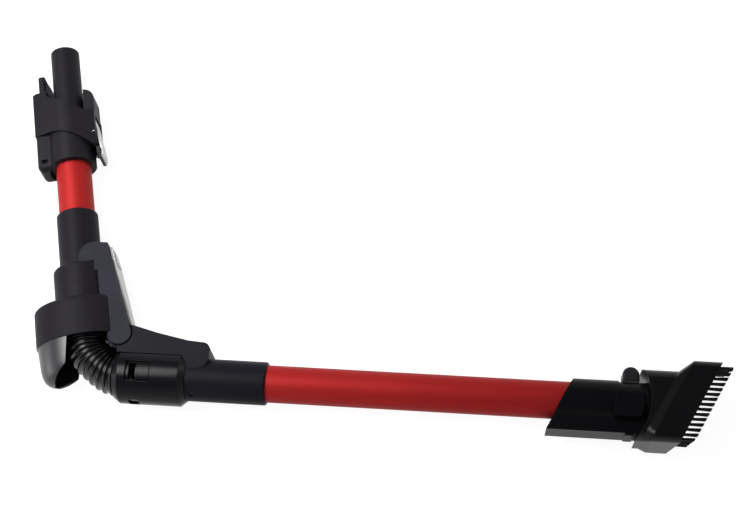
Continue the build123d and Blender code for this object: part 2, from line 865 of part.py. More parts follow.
with BuildPart() as shroud:
    # Tongue: a bowl behind the bend, open towards the hinge
    for inset, mode in ((0, Mode.ADD), (tongue_wall, Mode.SUBTRACT)):
        for drop, half_length, half_width in tongue_bowl:
            with BuildSketch(across_upper(shroud_start - drop)):
                with Locations((shroud_centre, 0)):
                    Ellipse(half_length - inset, half_width - inset)
        loft(mode=mode)
    tongue_drop = tongue_bowl[-1][0]
    with BuildSketch(upper_side):
        with BuildLine():
            Polyline(
                (tongue_edge, shroud_start),
                (tongue_edge - tongue_rake, shroud_start - tongue_drop),
                (tongue_edge - tongue_rake, -far),
                (far, -far),
                (far, shroud_start),
                close=True,
            )
        make_face()
    extrude(amount=far, both=True, mode=Mode.SUBTRACT)
    with BuildSketch(across_upper(shroud_start)):
        Circle(ring_radius + tongue_room)
    extrude(amount=-far, mode=Mode.SUBTRACT)
    with BuildSketch(across_upper(shroud_start)):
        with Locations((shroud_centre, 0)):
            Ellipse(shroud_half_length, shroud_half_width)
    extrude(amount=shroud_height)
    brow = shroud.faces().sort_by(Axis.Y)[-1].edges()
    fillet(brow, radius=shroud_round)
    with BuildSketch(across_upper(shroud_start)):
        with Locations((shroud_centre, 0)):
            Ellipse(shroud_half_length - shroud_wall, shroud_half_width - shroud_wall)
    extrude(amount=shroud_height - shroud_round - shroud_wall, mode=Mode.SUBTRACT)
    with BuildSketch(across_upper(shroud_start)):
        Circle(upper_socket_radius + fit)
    extrude(amount=shroud_height, mode=Mode.SUBTRACT)
    with BuildSketch(upper_side):
        with Locations((arm_stem_left - shroud_slot_room, shroud_start - shroud_cut_margin)):
            Rectangle(far, far, align=(Align.MIN, Align.MIN))
    extrude(amount=arm_half_width + running_gap, both=True, mode=Mode.SUBTRACT)
    with BuildSketch(upper_side):
        with Locations((shroud_right, shroud_start - shroud_cut_margin)):
            Rectangle(far, far, align=(Align.MIN, Align.MIN))
    extrude(amount=far, both=True, mode=Mode.SUBTRACT)

# Hinge arm: a fork with a round head on the collar and bosses on the pin
face_run = arm_face_high[0] - arm_face_low[0]
face_rise = arm_face_high[1] - arm_face_low[1]
face_length = hypot(face_run, face_rise)
face_along = (face_run / face_length, face_rise / face_length, 0)
face_normal = (face_along[1], -face_along[0], 0)
arm_face = Plane(
    (arm_face_low[0] - hinge_offset, arm_face_low[1], 0),
    x_dir=face_along,
    z_dir=face_normal,
)

with BuildPart() as hinge_arm:
    with BuildSketch(upper_side):
        with BuildLine():
            Polyline(
                (arm_stem_left + arm_stem_rake, 0),
                (arm_stem_left, upper_socket_step),
                (arm_stem_left, arm_head_centre[1]),
                (arm_head_centre[0], arm_head_centre[1] + arm_head_radius),
                arm_face_high,
                arm_face_low,
                (hinge_offset + boss_radius, 0),
                close=True,
            )
        make_face()
        with Locations(arm_head_centre):
            Circle(arm_head_radius)
        with Locations((hinge_offset, 0)):
            Circle(boss_radius)
    extrude(amount=arm_half_width, both=True)
    with BuildSketch(across_upper(-far / 10)):
        Circle(upper_socket_radius + fit)
    extrude(amount=far / 10 + upper_socket_top + fit, mode=Mode.SUBTRACT)
    with BuildSketch(across_upper(upper_socket_top)):
        Circle(collar_radius + fit)
    extrude(amount=far / 10, mode=Mode.SUBTRACT)
    with BuildSketch(upper_side):
        with Locations((0, arm_fork_floor)):
            Rectangle(far, far, align=(Align.MIN, Align.MAX))
    extrude(amount=lug_half_width + running_gap, both=True, mode=Mode.SUBTRACT)
    with BuildSketch(upper_side):
        with Locations((hinge_offset, 0)):
            Circle(pin_radius + fit / 2)
    extrude(amount=arm_half_width - pin_cover, both=True, mode=Mode.SUBTRACT)
    with BuildSketch(arm_face):
        with Locations((button_along, 0)):
            Rectangle(button_length + 2 * running_gap, 2 * (button_half_width + running_gap))
    extrude(amount=-(button_depth + button_travel + fit), mode=Mode.SUBTRACT)

with BuildPart() as flex_trim:
    with BuildSketch(arm_face) as trim_outline:
        with BuildLine():
            Polyline(
                (0, -trim_low_half),
                (face_length - trim_top_gap, -trim_high_half),
                (face_length - trim_top_gap, trim_high_half),
                (0, trim_low_half),
                close=True,
            )
        make_face()
        tops = trim_outline.vertices().group_by(Axis.Y)[-1]
        fillet(tops, radius=trim_corner)
        with Locations((button_along, 0)):
            Rectangle(
                button_length + 2 * running_gap,
                2 * (button_half_width + running_gap),
                mode=Mode.SUBTRACT,
            )
    extrude(amount=trim_thickness)

with BuildPart() as flex_button:
    with BuildSketch(arm_face.offset(-button_depth)):
        with Locations((button_along, 0)):
            RectangleRounded(button_length, 2 * button_half_width, button_corner)
    extrude(amount=button_depth + trim_thickness + button_proud)

with BuildPart() as hinge_pin:
    with BuildSketch(Plane.XY):
        Circle(pin_radius)
    extrude(amount=arm_half_width - pin_cover - fit, both=True)

# Coupling

with BuildPart() as coupling_collar:
    with BuildSketch(across_upper(coupling_collar_start)):
        Circle(coupling_collar_radius)
        Circle(tube_radius + collar_wall_fit, mode=Mode.SUBTRACT)
    extrude(amount=coupling_collar_length)

with BuildPart() as coupling_housing:
    # Cover: one skin stretched over the collar, the channel and the latch
    with BuildSketch(across_upper(arch_right)):
        Circle(housing_radius)
        with Locations((channel_left, 0)):
            Rectangle(-channel_left, 2 * channel_half, align=(Align.MIN, Align.CENTER))
        with Locations((housing_block_right, 0)):
            Rectangle(
                housing_block_right,
                2 * housing_block_half,
                align=(Align.MAX, Align.CENTER),
            )
        make_hull()
    extrude(amount=housing_top - arch_right)
    brow = coupling_housing.edges().filter_by(Axis.Z).group_by(Axis.X)[-1].sort_by(Axis.Y)[-1]
    fillet(brow, radius=housing_brow_round)
    # Arch: the lower edge of the cover over the collar
    with BuildSketch(upper_side):
        with BuildLine():
            ThreePointArc(
                (arch_side, arch_left), (arch_mid_across, arch_mid), (housing_radius, arch_right)
            )
            Polyline(
                (housing_radius, arch_right),
                (far, arch_right),
                (far, -far),
                (-far, -far),
                (-far, arch_left),
                (arch_side, arch_left),
            )
        make_face()
    extrude(amount=far, both=True, mode=Mode.SUBTRACT)
    # Shoulder above the latch, set back from the cover on both sides
    for side in (1, -1):
        with BuildSketch(upper_side.offset(side * shoulder_half)):
            with Locations((notch_half, notch_low)):
                Rectangle(far, far, align=(Align.MIN, Align.MIN))
        extrude(amount=side * far, mode=Mode.SUBTRACT)
    # Electrical channel down the outer side
    with BuildSketch(across_upper(channel_bottom)):
        with Locations(((channel_left + channel_inner) / 2, 0)):
            RectangleRounded(channel_inner - channel_left, 2 * channel_half, channel_corner)
    extrude(amount=channel_top - channel_bottom)
    heel = coupling_housing.faces().sort_by(Axis.Y)[0].edges().sort_by(Axis.X)[0]
    fillet(heel, radius=channel_heel_round)
    with BuildSketch(across_upper(0)):
        Circle(coupling_collar_radius + fit)
    extrude(amount=housing_ceiling, mode=Mode.SUBTRACT)
    with BuildSketch(across_upper(0)):
        Circle(spigot_base_radius + fit)
    extrude(amount=far, mode=Mode.SUBTRACT)
    # Slanted notch that shows the foot of the spigot
    with BuildSketch(upper_side):
        with BuildLine():
            Polyline(
                (-notch_half, notch_high),
                (notch_half, notch_low),
                (notch_half, far),
                (-notch_half, far),
                close=True,
            )
        make_face()
    extrude(amount=far, both=True, mode=Mode.SUBTRACT)
    # Slot and pin bore for the latch
    with BuildSketch(upper_side):
        with Locations((coupling_collar_radius - latch_slot_sink, 0)):
            Rectangle(far, latch_top + latch_slot_room, align=(Align.MIN, Align.MIN))
    extrude(amount=latch_half_width + running_gap, both=True, mode=Mode.SUBTRACT)
    with BuildSketch(upper_side):
        with Locations(latch_pin):
            Circle(latch_pin_radius + fit / 2)
    extrude(amount=far, both=True, mode=Mode.SUBTRACT)
    # Strap window, slanted through the channel
    with BuildSketch(Plane((strap_window[0] - hinge_offset, 0, 0), x_dir=(0, 1, 0), z_dir=(1, 0, 0))):
        with BuildLine():
            near_side = channel_half + fit
            Polyline(
                (strap_window[1] - strap_window_size[1] / 2, near_side),
                (strap_window[1] + strap_window_size[1] / 2, near_side),
                (strap_window[1] + strap_window_size[1] / 2 + strap_window_rise, -near_side),
                (strap_window[1] - strap_window_size[1] / 2 + strap_window_rise, -near_side),
                close=True,
            )
        make_face()
    extrude(amount=strap_window_size[0] / 2, both=True, mode=Mode.SUBTRACT)

with BuildPart() as suction_spigot:
    with BuildSketch(across_upper(flange_seat)):
        Circle(coupling_collar_radius)
    extrude(amount=spigot_flange)
    with BuildSketch(across_upper(flange_seat)):
        Circle(spigot_base_radius)
    extrude(amount=spigot_step - flange_seat)
    with BuildSketch(across_upper(spigot_step)):
        Circle(spigot_radius)
    extrude(amount=spigot_top - spigot_step)
    rim = suction_spigot.faces().sort_by(Axis.Y)[-1].edges()
    fillet(rim, radius=spigot_rim)
    with BuildSketch(across_upper(flange_seat)):
        Circle(spigot_radius - spigot_wall)
    extrude(amount=far, mode=Mode.SUBTRACT)

with BuildPart() as contact_post:
    with BuildSketch(across_upper(channel_top)):
        with Locations((post_centre, 0)):
            RectangleRounded(post_thickness, 2 * post_half_width, post_corner)
    extrude(amount=post_height)
    crown = contact_post.faces().sort_by(Axis.Y)[-1].edges()
    fillet(crown, radius=post_crown_round)
    with BuildSketch(upper_side) as web_outline:
        with BuildLine():
            Polyline(
                (post_centre, channel_top),
                (web_edge, channel_top),
                (web_edge, channel_top + web_foot),
                (post_centre + post_thickness / 2, channel_top + web_height),
                (post_centre, channel_top + web_height),
                close=True,
            )
        make_face()
    extrude(amount=post_half_width - post_corner, both=True)
    with BuildSketch(across_upper(channel_top + post_height - blade_length)):
        with Locations((post_centre, 0)):
            with GridLocations(1, blade_spacing, 1, 2):
                Rectangle(blade_thickness, 2 * blade_half_width)
    extrude(amount=far, mode=Mode.SUBTRACT)

blades = []
for side in (1, -1):
    with BuildPart() as blade:
        with BuildSketch(across_upper(channel_top + post_height - blade_length)):
            with Locations((post_centre, side * blade_spacing / 2)):
                Rectangle(blade_thickness, 2 * blade_half_width)
        extrude(amount=blade_length - blade_recess)
    blades.append(blade)

# Latch: lever, silver cap and pin
lever_face = (
    (latch_face_top, latch_top),
    (latch_face_pin, latch_pin[1]),
    (latch_face_toe, latch_bottom + latch_toe_height),
)

with BuildPart() as latch_lever:
    with BuildSketch(upper_side):
        with BuildLine():
            Polyline(
                (latch_inner, latch_top),
                *lever_face,
                (latch_tip_outer, latch_bottom),
                (latch_tip_inner, latch_bottom),
                (latch_back, latch_bottom + latch_back_height),
                (latch_inner, latch_pin[1] - latch_back_below_pin),
                close=True,
            )
        make_face()
    extrude(amount=latch_half_width, both=True)
    with BuildSketch(upper_side):
        with BuildLine():
            Polyline(
                (latch_back, latch_bottom + latch_paddle_height),
                (latch_face_paddle, latch_bottom + latch_paddle_height),
                (latch_face_toe, latch_bottom + latch_toe_height),
                (latch_tip_outer, latch_bottom),
                (latch_tip_inner, latch_bottom),
                close=True,
            )
        make_face()
    extrude(amount=latch_paddle_half, both=True)
    with BuildSketch(upper_side):
        with Locations(latch_pin):
            Circle(latch_pin_radius + fit)
    extrude(amount=far, both=True, mode=Mode.SUBTRACT)

with BuildPart() as latch_cap:
    with BuildSketch(upper_side):
        inner = (*lever_face, (latch_tip_outer, latch_bottom))
        outer = [(across + latch_cap_thickness, along) for across, along in inner]
        with BuildLine():
            Polyline(*inner, *reversed(outer), close=True)
        make_face()
    extrude(amount=latch_cap_half, both=True)

with BuildPart() as latch_pin_rod:
    with BuildSketch(upper_side):
        with Locations(latch_pin):
            Circle(latch_pin_radius)
    extrude(amount=housing_block_half - latch_pin_recess, both=True)

# Labels, and the place of every piece

upper_pose = Location((0, 0, 0), (0, 0, upper_turn))

lower_pieces = {
    "lower_tube": lower_tube.part,
    "hinge_saddle": hinge_saddle.part,
    "socket_ring": socket_ring.part,
    "hose_lower_cuff": hose_lower_cuff.part,
    "hose": hose.part,
    "collar_screw_near": screws[0].part,
    "collar_screw_far": screws[1].part,
    "end_sleeve": end_sleeve.part,
    "end_channel_cover": end_channel_cover.part,
    "end_contacts": end_contacts.part,
    "tool_button": tool_button.part,
    "brush_nozzle": brush_nozzle.part,
    "bristles": bristles.part,
}
upper_pieces = {
    "upper_tube": upper_tube.part,
    "upper_socket": upper_socket.part,
    "hose_upper_cuff": hose_upper_cuff.part,
    "shroud": shroud.part,
    "hinge_arm": hinge_arm.part,
    "flex_trim": flex_trim.part,
    "flex_button": flex_button.part,
    "hinge_pin": hinge_pin.part,
    "coupling_collar": coupling_collar.part,
    "coupling_housing": coupling_housing.part,
    "suction_spigot": suction_spigot.part,
    "contact_post": contact_post.part,
    "contact_blade_near": blades[0].part,
    "contact_blade_far": blades[1].part,
    "latch_lever": latch_lever.part,
    "latch_cap": latch_cap.part,
    "latch_pin": latch_pin_rod.part,
}

pieces = dict(lower_pieces)
for name, piece in upper_pieces.items():
    pieces[name] = piece.moved(upper_pose)

# The origin is the middle of the footprint, on the surface the wand lies on
boxes = [piece.bounding_box() for piece in pieces.values()]
left = min(box.min.X for box in boxes)
right = max(box.max.X for box in boxes)
front = min(box.min.Y for box in boxes)
back = max(box.max.Y for box in boxes)
under = min(box.min.Z for box in boxes)
rest = Location((-(left + right) / 2, -(front + back) / 2, -under))

os.makedirs("parts", exist_ok=True)
for name, piece in pieces.items():
    placed = piece.moved(rest)
    placed.label = name
    export_step(placed, f"parts/{name}.step")

print("hinge axis", rest.position.X, rest.position.Y, "tube plane", rest.position.Z)
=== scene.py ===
import json
from math import atan2, cos, pi, radians, sin, tan

import bpy
from bpy.props import FloatProperty, FloatVectorProperty, IntProperty, PointerProperty
from mathutils import Matrix, Vector


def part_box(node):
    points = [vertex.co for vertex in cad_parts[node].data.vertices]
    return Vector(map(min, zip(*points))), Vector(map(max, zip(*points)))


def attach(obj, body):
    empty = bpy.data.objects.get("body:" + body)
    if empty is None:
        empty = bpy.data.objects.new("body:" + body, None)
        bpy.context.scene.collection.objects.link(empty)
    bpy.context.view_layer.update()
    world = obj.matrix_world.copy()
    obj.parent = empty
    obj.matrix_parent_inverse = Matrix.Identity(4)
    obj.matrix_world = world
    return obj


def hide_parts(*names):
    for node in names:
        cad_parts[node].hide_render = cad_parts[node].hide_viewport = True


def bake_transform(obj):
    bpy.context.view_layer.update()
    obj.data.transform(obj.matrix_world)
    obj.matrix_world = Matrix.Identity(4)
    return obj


bl_info = {
    "name": "Flexible vacuum wand",
    "version": (1, 0, 0),
    "blender": (4, 5, 0),
    "location": "3D View > Sidebar > Wand",
    "description": "Finishes, corrugated hose and bristles of a vacuum wand with a flexing elbow",
    "category": "Object",
}

# Depth of the relief in the finishes, and the distance within which points are level
GRAIN_RELIEF = 0.00008
LINE_RELIEF = 0.00003
SAME_LEVEL = 1e-5

# The solids, their box, and the hinge that both sections turn about
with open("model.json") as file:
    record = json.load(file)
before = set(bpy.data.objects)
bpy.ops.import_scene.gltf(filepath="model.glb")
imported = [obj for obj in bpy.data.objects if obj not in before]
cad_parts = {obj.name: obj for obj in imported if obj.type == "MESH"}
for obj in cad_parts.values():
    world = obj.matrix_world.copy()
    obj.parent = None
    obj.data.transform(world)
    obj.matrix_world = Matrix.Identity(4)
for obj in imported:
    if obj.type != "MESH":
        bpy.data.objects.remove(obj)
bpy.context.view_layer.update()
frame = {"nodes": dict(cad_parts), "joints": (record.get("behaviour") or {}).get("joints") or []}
elbow = next(joint for joint in frame["joints"] if joint["name"] == "elbow_hinge")
hinge = Vector(elbow["pos_m"])
bend = radians(elbow["range_deg"][1])

# Directions along the upper section, and across it from its axis to the hinge
upper_along = Vector((-cos(bend), sin(bend), 0.0))
upper_across = Vector((sin(bend), cos(bend), 0.0))


# Sizes and colours that can be changed


def tint(name, description, default):
    """A colour property, with its name, description and default."""
    return FloatVectorProperty(
        name=name, description=description, subtype="COLOR", min=0.0, max=1.0, default=default
    )


class WandFinish(bpy.types.PropertyGroup):
    """Colours of the wand's finishes."""

    tube_red: tint("Tube red", "Satin red of both tubes", (0.37, 0.016, 0.0155))
    moulding_black: tint(
        "Moulding black",
        "Spark-finished black of the collars, shroud, coupling and tool button",
        (0.0115, 0.0102, 0.0132),
    )
    # Polished black also colours the collar screws, where it is painted shade for the dark holes they
    # sit in
    polished_black: tint(
        "Polished black",
        "Smooth black of the cuffs, ring, screws, latch lever, end sleeve and brush",
        (0.0055, 0.0055, 0.0068),
    )
    arm_grey: tint(
        "Arm grey",
        "Blue-grey of the hinge arm, and darker of the saddle",
        (0.019, 0.02, 0.027),
    )
    trim_grey: tint("Trim grey", "Pale warm grey of the flex trim and its button", (0.82, 0.8, 0.78))
    hose_black: tint("Hose black", "Glossy black of the corrugated hose", (0.006, 0.006, 0.007))
    latch_silver: tint("Latch silver", "Silver of the latch cap", (0.5, 0.5, 0.49))
    contact_brass: tint("Contact brass", "Brass of the electrical contacts", (0.7, 0.48, 0.2))
    pin_steel: tint("Pin steel", "Steel of the pins", (0.56, 0.56, 0.57))
    bristle_black: tint("Bristle black", "Black of the brush filaments", (0.012, 0.012, 0.014))


class WandHose(bpy.types.PropertyGroup):
    """Sizes of the corrugated hose at the elbow."""

    axis_offset: FloatProperty(
        name="Axis offset",
        description="Distance from the hinge to the axis of the hose",
        unit="LENGTH",
        default=0.0355,
    )
    crest: FloatProperty(
        name="Crest radius",
        description="Radius over the ribs",
        unit="LENGTH",
        default=0.02,
    )
    root: FloatProperty(
        name="Root radius",
        description="Radius in the grooves",
        unit="LENGTH",
        default=0.0168,
    )
    pull: FloatProperty(
        name="Pull",
        description="Distance that the middle of the bend is drawn in towards the hinge",
        unit="LENGTH",
        default=0.0036,
    )
    wall: FloatProperty(
        name="Wall",
        description="Thickness of the hose wall",
        unit="LENGTH",
        default=0.0011,
    )
    ribs: IntProperty(
        name="Ribs",
        description="Ribs on the bent stretch",
        min=3,
        default=9,
    )
    end_ribs: IntProperty(
        name="End ribs",
        description="Ribs on each straight end inside a cuff",
        min=1,
        default=3,
    )
    sides: IntProperty(
        name="Sides",
        description="Points round each ring",
        min=24,
        default=72,
    )


class WandShroud(bpy.types.PropertyGroup):
    """Sizes of the tongue under the shroud."""

    axis_offset: FloatProperty(
        name="Axis offset",
        description="Distance from the hinge to the axis of the upper section",
        unit="LENGTH",
        default=0.0355,
    )
    seam: FloatProperty(
        name="Seam",
        description="Height of the seam over the hinge, along the upper section",
        unit="LENGTH",
        default=0.003,
    )
    depth: FloatProperty(
        name="Depth",
        description="Depth of the tongue under the seam",
        unit="LENGTH",
        default=0.0385,
    )
    edge: FloatProperty(
        name="Edge",
        description="Distance of the tongue's open edge behind the axis",
        unit="LENGTH",
        default=0.015,
    )
    back_gain: FloatProperty(
        name="Back gain",
        description="Share by which the tip of the tongue is filled out to the back",
        default=0.46,
    )
    side_gain: FloatProperty(
        name="Side gain",
        description="Share by which the tip of the tongue is filled out to both sides",
        default=0.5,
    )


class WandBrush(bpy.types.PropertyGroup):
    """Sizes of the bristle rows in the brush mouth."""

    slant: FloatProperty(
        name="Slant",
        description="Lean of the mouth from square",
        subtype="ANGLE",
        default=radians(27.0),
    )
    mouth: FloatProperty(
        name="Mouth",
        description="Distance along the tube from the hinge to the rim of the mouth",
        unit="LENGTH",
        default=0.5393,
    )
    axis_offset: FloatProperty(
        name="Axis offset",
        description="Distance from the hinge to the axis of the lower tube",
        unit="LENGTH",
        default=0.0355,
    )
    middle: FloatProperty(
        name="Row middle",
        description="Middle of the row, up the slant from the tube's axis",
        unit="LENGTH",
        default=-0.000505,
    )
    row_half: FloatProperty(
        name="Half row",
        description="Half the distance between the two end rows",
        unit="LENGTH",
        default=0.038677,
    )
    row_side: FloatProperty(
        name="Row side",
        description="Height of the long row over the tube's axis",
        unit="LENGTH",
        default=0.02085,
    )
    end_row: FloatProperty(
        name="End row",
        description="Depth to which the end rows reach under the long row",
        unit="LENGTH",
        default=0.0237,
    )
    fall: FloatProperty(
        name="Fall",
        description="Angle at which the rim falls away under the long row",
        subtype="ANGLE",
        default=radians(11.5),
    )
    fall_start: FloatProperty(
        name="Fall start",
        description="Height over the tube's axis at which the rim starts to fall",
        unit="LENGTH",
        default=0.018,
    )
    strip: FloatProperty(
        name="Strip",
        description="Thickness of the strip that holds the tufts",
        unit="LENGTH",
        default=0.0038,
    )
    strip_height: FloatProperty(
        name="Strip height",
        description="Height of the strip along the tube",
        unit="LENGTH",
        default=0.005,
    )
    strip_sink: FloatProperty(
        name="Strip sink",
        description="Depth of the foot of the strip behind the rim",
        unit="LENGTH",
        default=0.0058,
    )
    tufts: IntProperty(
        name="Tufts",
        description="Tufts in the long row",
        min=2,
        default=14,
    )
    end_tufts: IntProperty(
        name="End tufts",
        description="Tufts in each end row",
        min=1,
        default=4,
    )
    tuft_reach: FloatProperty(
        name="Tuft reach",
        description="Length of the tufts past the rim",
        unit="LENGTH",
        default=0.0123,
    )
    tuft_width: FloatProperty(
        name="Tuft width",
        description="Width of a tuft along its row",
        unit="LENGTH",
        default=0.0026,
    )
    tuft_depth: FloatProperty(
        name="Tuft depth",
        description="Thickness of a tuft across its row",
        unit="LENGTH",
        default=0.0026,
    )
    row_share: FloatProperty(
        name="Row share",
        description="Share of the row that the tufts fill",
        default=0.92,
    )
    strands_along: IntProperty(
        name="Strands along",
        description="Filaments across the width of a tuft",
        min=2,
        default=9,
    )
    strands_across: IntProperty(
        name="Strands across",
        description="Filaments through the thickness of a tuft",
        min=2,
        default=8,
    )
    strand_radius: FloatProperty(
        name="Strand radius",
        description="Radius of one filament at its root",
        unit="LENGTH",
        default=0.00017,
    )


class WandStage(bpy.types.PropertyGroup):
    """Floor, lamps and camera."""

    floor_white: tint("Floor white", "Colour of the floor", (0.25, 0.25, 0.25))
    floor_lift: FloatProperty(
        name="Floor lift",
        description="Glow that whitens the floor where it is seen",
        default=0.92,
    )
    sky_level: FloatProperty(
        name="Sky level",
        description="Strength of the light from all round",
        default=0.25,
    )
    sky_top: FloatProperty(
        name="Sky top",
        description="Strength of the sky overhead as shiny faces show it",
        default=0.12,
    )
    sky_dark_from: FloatProperty(
        name="Sky dark from",
        description="Height in the sky, as a sine, over which it is at its darkest",
        default=0.75,
    )
    floor_size: FloatProperty(
        name="Floor size",
        description="Width of the floor",
        unit="LENGTH",
        default=9.0,
    )
    target: FloatVectorProperty(
        name="Target",
        description="Point that the camera looks at",
        subtype="TRANSLATION",
        unit="LENGTH",
        default=hinge + Vector((0.23302, 0.0956, 0.0)),
    )
    azimuth: FloatProperty(
        name="Azimuth",
        description="Turn of the camera round the wand",
        subtype="ANGLE",
        default=radians(11.41),
    )
    elevation: FloatProperty(
        name="Elevation",
        description="Height of the camera over the floor as an angle",
        subtype="ANGLE",
        default=radians(65.96),
    )
    roll: FloatProperty(
        name="Roll",
        description="Turn of the camera about its own axis",
        subtype="ANGLE",
        default=radians(-7.68),
    )
    distance: FloatProperty(
        name="Distance",
        description="Distance from the camera to its target",
        unit="LENGTH",
        default=1.298,
    )
    lens: FloatProperty(
        name="Lens",
        description="Focal length in millimetres on a 36 mm sensor",
        default=64.32,
    )
    key_power: FloatProperty(
        name="Key power",
        description="Power of the large soft lamp over the upper section",
        unit="POWER",
        default=2.8,
    )
    key_spread: FloatProperty(
        name="Key spread",
        description="Width of the large lamp's beam",
        subtype="ANGLE",
        default=radians(52.0),
    )
    fill_power: FloatProperty(
        name="Fill power",
        description="Power of the low soft lamp on the brush side",
        unit="POWER",
        default=3.0,
    )
    strip_power: FloatProperty(
        name="Strip power",
        description="Power of the narrow lamp behind the wand",
        unit="POWER",
        default=1.0,
    )
    side_power: FloatProperty(
        name="Side power",
        description="Power of the low soft lamp on the side of the upper section",
        unit="POWER",
        default=3.5,
    )


# Selecting and finishing


def start_fresh():
    """Leaves edit mode and deselects everything."""
    active = bpy.context.view_layer.objects.active
    if active and active.mode != "OBJECT":
        bpy.ops.object.mode_set(mode="OBJECT")
    bpy.ops.object.select_all(action="DESELECT")


def choose(*objects):
    """Selects these objects alone and makes the first one active."""
    start_fresh()
    for obj in objects:
        obj.select_set(True)
    bpy.context.view_layer.objects.active = objects[0]


def apply_modifiers(obj):
    """Applies every modifier of a piece, from the first to the last."""
    choose(obj)
    for name in [modifier.name for modifier in obj.modifiers]:
        bpy.ops.object.modifier_apply(modifier=name)


def settle(obj):
    """Moves a piece's place into its mesh, merges doubles and turns its faces outwards."""
    choose(obj)
    bpy.ops.object.transform_apply(location=True, rotation=True, scale=True)
    bpy.ops.object.mode_set(mode="EDIT")
    bpy.ops.mesh.select_all(action="SELECT")
    bpy.ops.mesh.remove_doubles(threshold=1e-6)
    bpy.ops.mesh.normals_make_consistent(inside=False)
    bpy.ops.object.mode_set(mode="OBJECT")


def copy_of(obj, name):
    """A copy of a piece with a mesh of its own."""
    twin = obj.copy()
    twin.data = obj.data.copy()
    twin.name = name
    bpy.context.scene.collection.objects.link(twin)
    return twin


def dress(obj, material):
    """Gives a new piece its material."""
    obj.data.materials.clear()
    obj.data.materials.append(material)


def paint(material, *nodes):
    """Gives solids of the frame their material."""
    for node in nodes:
        mesh = frame["nodes"][node].data
        mesh.materials.clear()
        mesh.materials.append(material)


# Effects that several finishes share


def new_group(name, inputs, outputs):
    """An empty shader group with its named sockets."""
    group = bpy.data.node_groups.new(name, "ShaderNodeTree")
    for socket, kind, value in inputs:
        made = group.interface.new_socket(socket, in_out="INPUT", socket_type=kind)
        made.default_value = value
    for socket, kind in outputs:
        group.interface.new_socket(socket, in_out="OUTPUT", socket_type=kind)
    entry = group.nodes.new("NodeGroupInput")
    result = group.nodes.new("NodeGroupOutput")
    return group, entry, result


def noise(tree, scale, detail, roughness=0.5):
    """A noise texture with its plain values."""
    node = tree.nodes.new("ShaderNodeTexNoise")
    node.inputs["Scale"].default_value = scale
    node.inputs["Detail"].default_value = detail
    node.inputs["Roughness"].default_value = roughness
    return node


def math_node(tree, operation, first=None, second=None):
    """A math node with either plain numbers or linked values."""
    node = tree.nodes.new("ShaderNodeMath")
    node.operation = operation
    for socket, value in zip(node.inputs, (first, second)):
        if isinstance(value, (int, float)):
            socket.default_value = value
        elif value is not None:
            tree.links.new(value, socket)
    return node.outputs[0]


def mould_grain():
    """Fine spark-eroded grain, with sheen that drifts over the surface."""
    if "mould_grain" in bpy.data.node_groups:
        return bpy.data.node_groups["mould_grain"]
    group, entry, result = new_group(
        "mould_grain",
        (
            ("Grain per metre", "NodeSocketFloat", 2600.0),
            ("Roughness", "NodeSocketFloat", 0.5),
            ("Roughness drift", "NodeSocketFloat", 0.1),
        ),
        (("Roughness", "NodeSocketFloat"), ("Height", "NodeSocketFloat")),
    )
    place = group.nodes.new("ShaderNodeTexCoord")
    fine = noise(group, 2600.0, 2.0, 0.6)
    broad = noise(group, 28.0, 3.0)
    links = group.links
    links.new(place.outputs["Object"], fine.inputs["Vector"])
    links.new(place.outputs["Object"], broad.inputs["Vector"])
    links.new(entry.outputs["Grain per metre"], fine.inputs["Scale"])
    centred = math_node(group, "SUBTRACT", broad.outputs["Fac"], 0.5)
    drift = math_node(group, "MULTIPLY", centred, entry.outputs["Roughness drift"])
    sheen = math_node(group, "ADD", entry.outputs["Roughness"], drift)
    links.new(sheen, result.inputs["Roughness"])
    links.new(fine.outputs["Fac"], result.inputs["Height"])
    return group


def handling_marks():
    """Faint rubbed patches: a colour that pales a little where hands and floors touch."""
    if "handling_marks" in bpy.data.node_groups:
        return bpy.data.node_groups["handling_marks"]
    group, entry, result = new_group(
        "handling_marks",
        (
            ("Colour", "NodeSocketColor", (0.02, 0.02, 0.02, 1.0)),
            ("Rubbed colour", "NodeSocketColor", (0.05, 0.05, 0.05, 1.0)),
            ("Amount", "NodeSocketFloat", 0.3),
        ),
        (("Colour", "NodeSocketColor"),),
    )
    place = group.nodes.new("ShaderNodeTexCoord")
    patches = noise(group, 17.0, 5.0, 0.62)
    specks = noise(group, 420.0, 2.0)
    links = group.links
    links.new(place.outputs["Object"], patches.inputs["Vector"])
    links.new(place.outputs["Object"], specks.inputs["Vector"])
    spread = group.nodes.new("ShaderNodeMapRange")
    spread.inputs["From Min"].default_value = 0.48
    spread.inputs["From Max"].default_value = 0.78
    links.new(patches.outputs["Fac"], spread.inputs["Value"])
    broken = math_node(group, "MULTIPLY", spread.outputs["Result"], specks.outputs["Fac"])
    mask = math_node(group, "MULTIPLY", broken, entry.outputs["Amount"])
    blend = group.nodes.new("ShaderNodeMix")
    blend.data_type = "RGBA"
    links.new(mask, blend.inputs["Factor"])
    links.new(entry.outputs["Colour"], blend.inputs["A"])
    links.new(entry.outputs["Rubbed colour"], blend.inputs["B"])
    links.new(blend.outputs["Result"], result.inputs["Colour"])
    return group


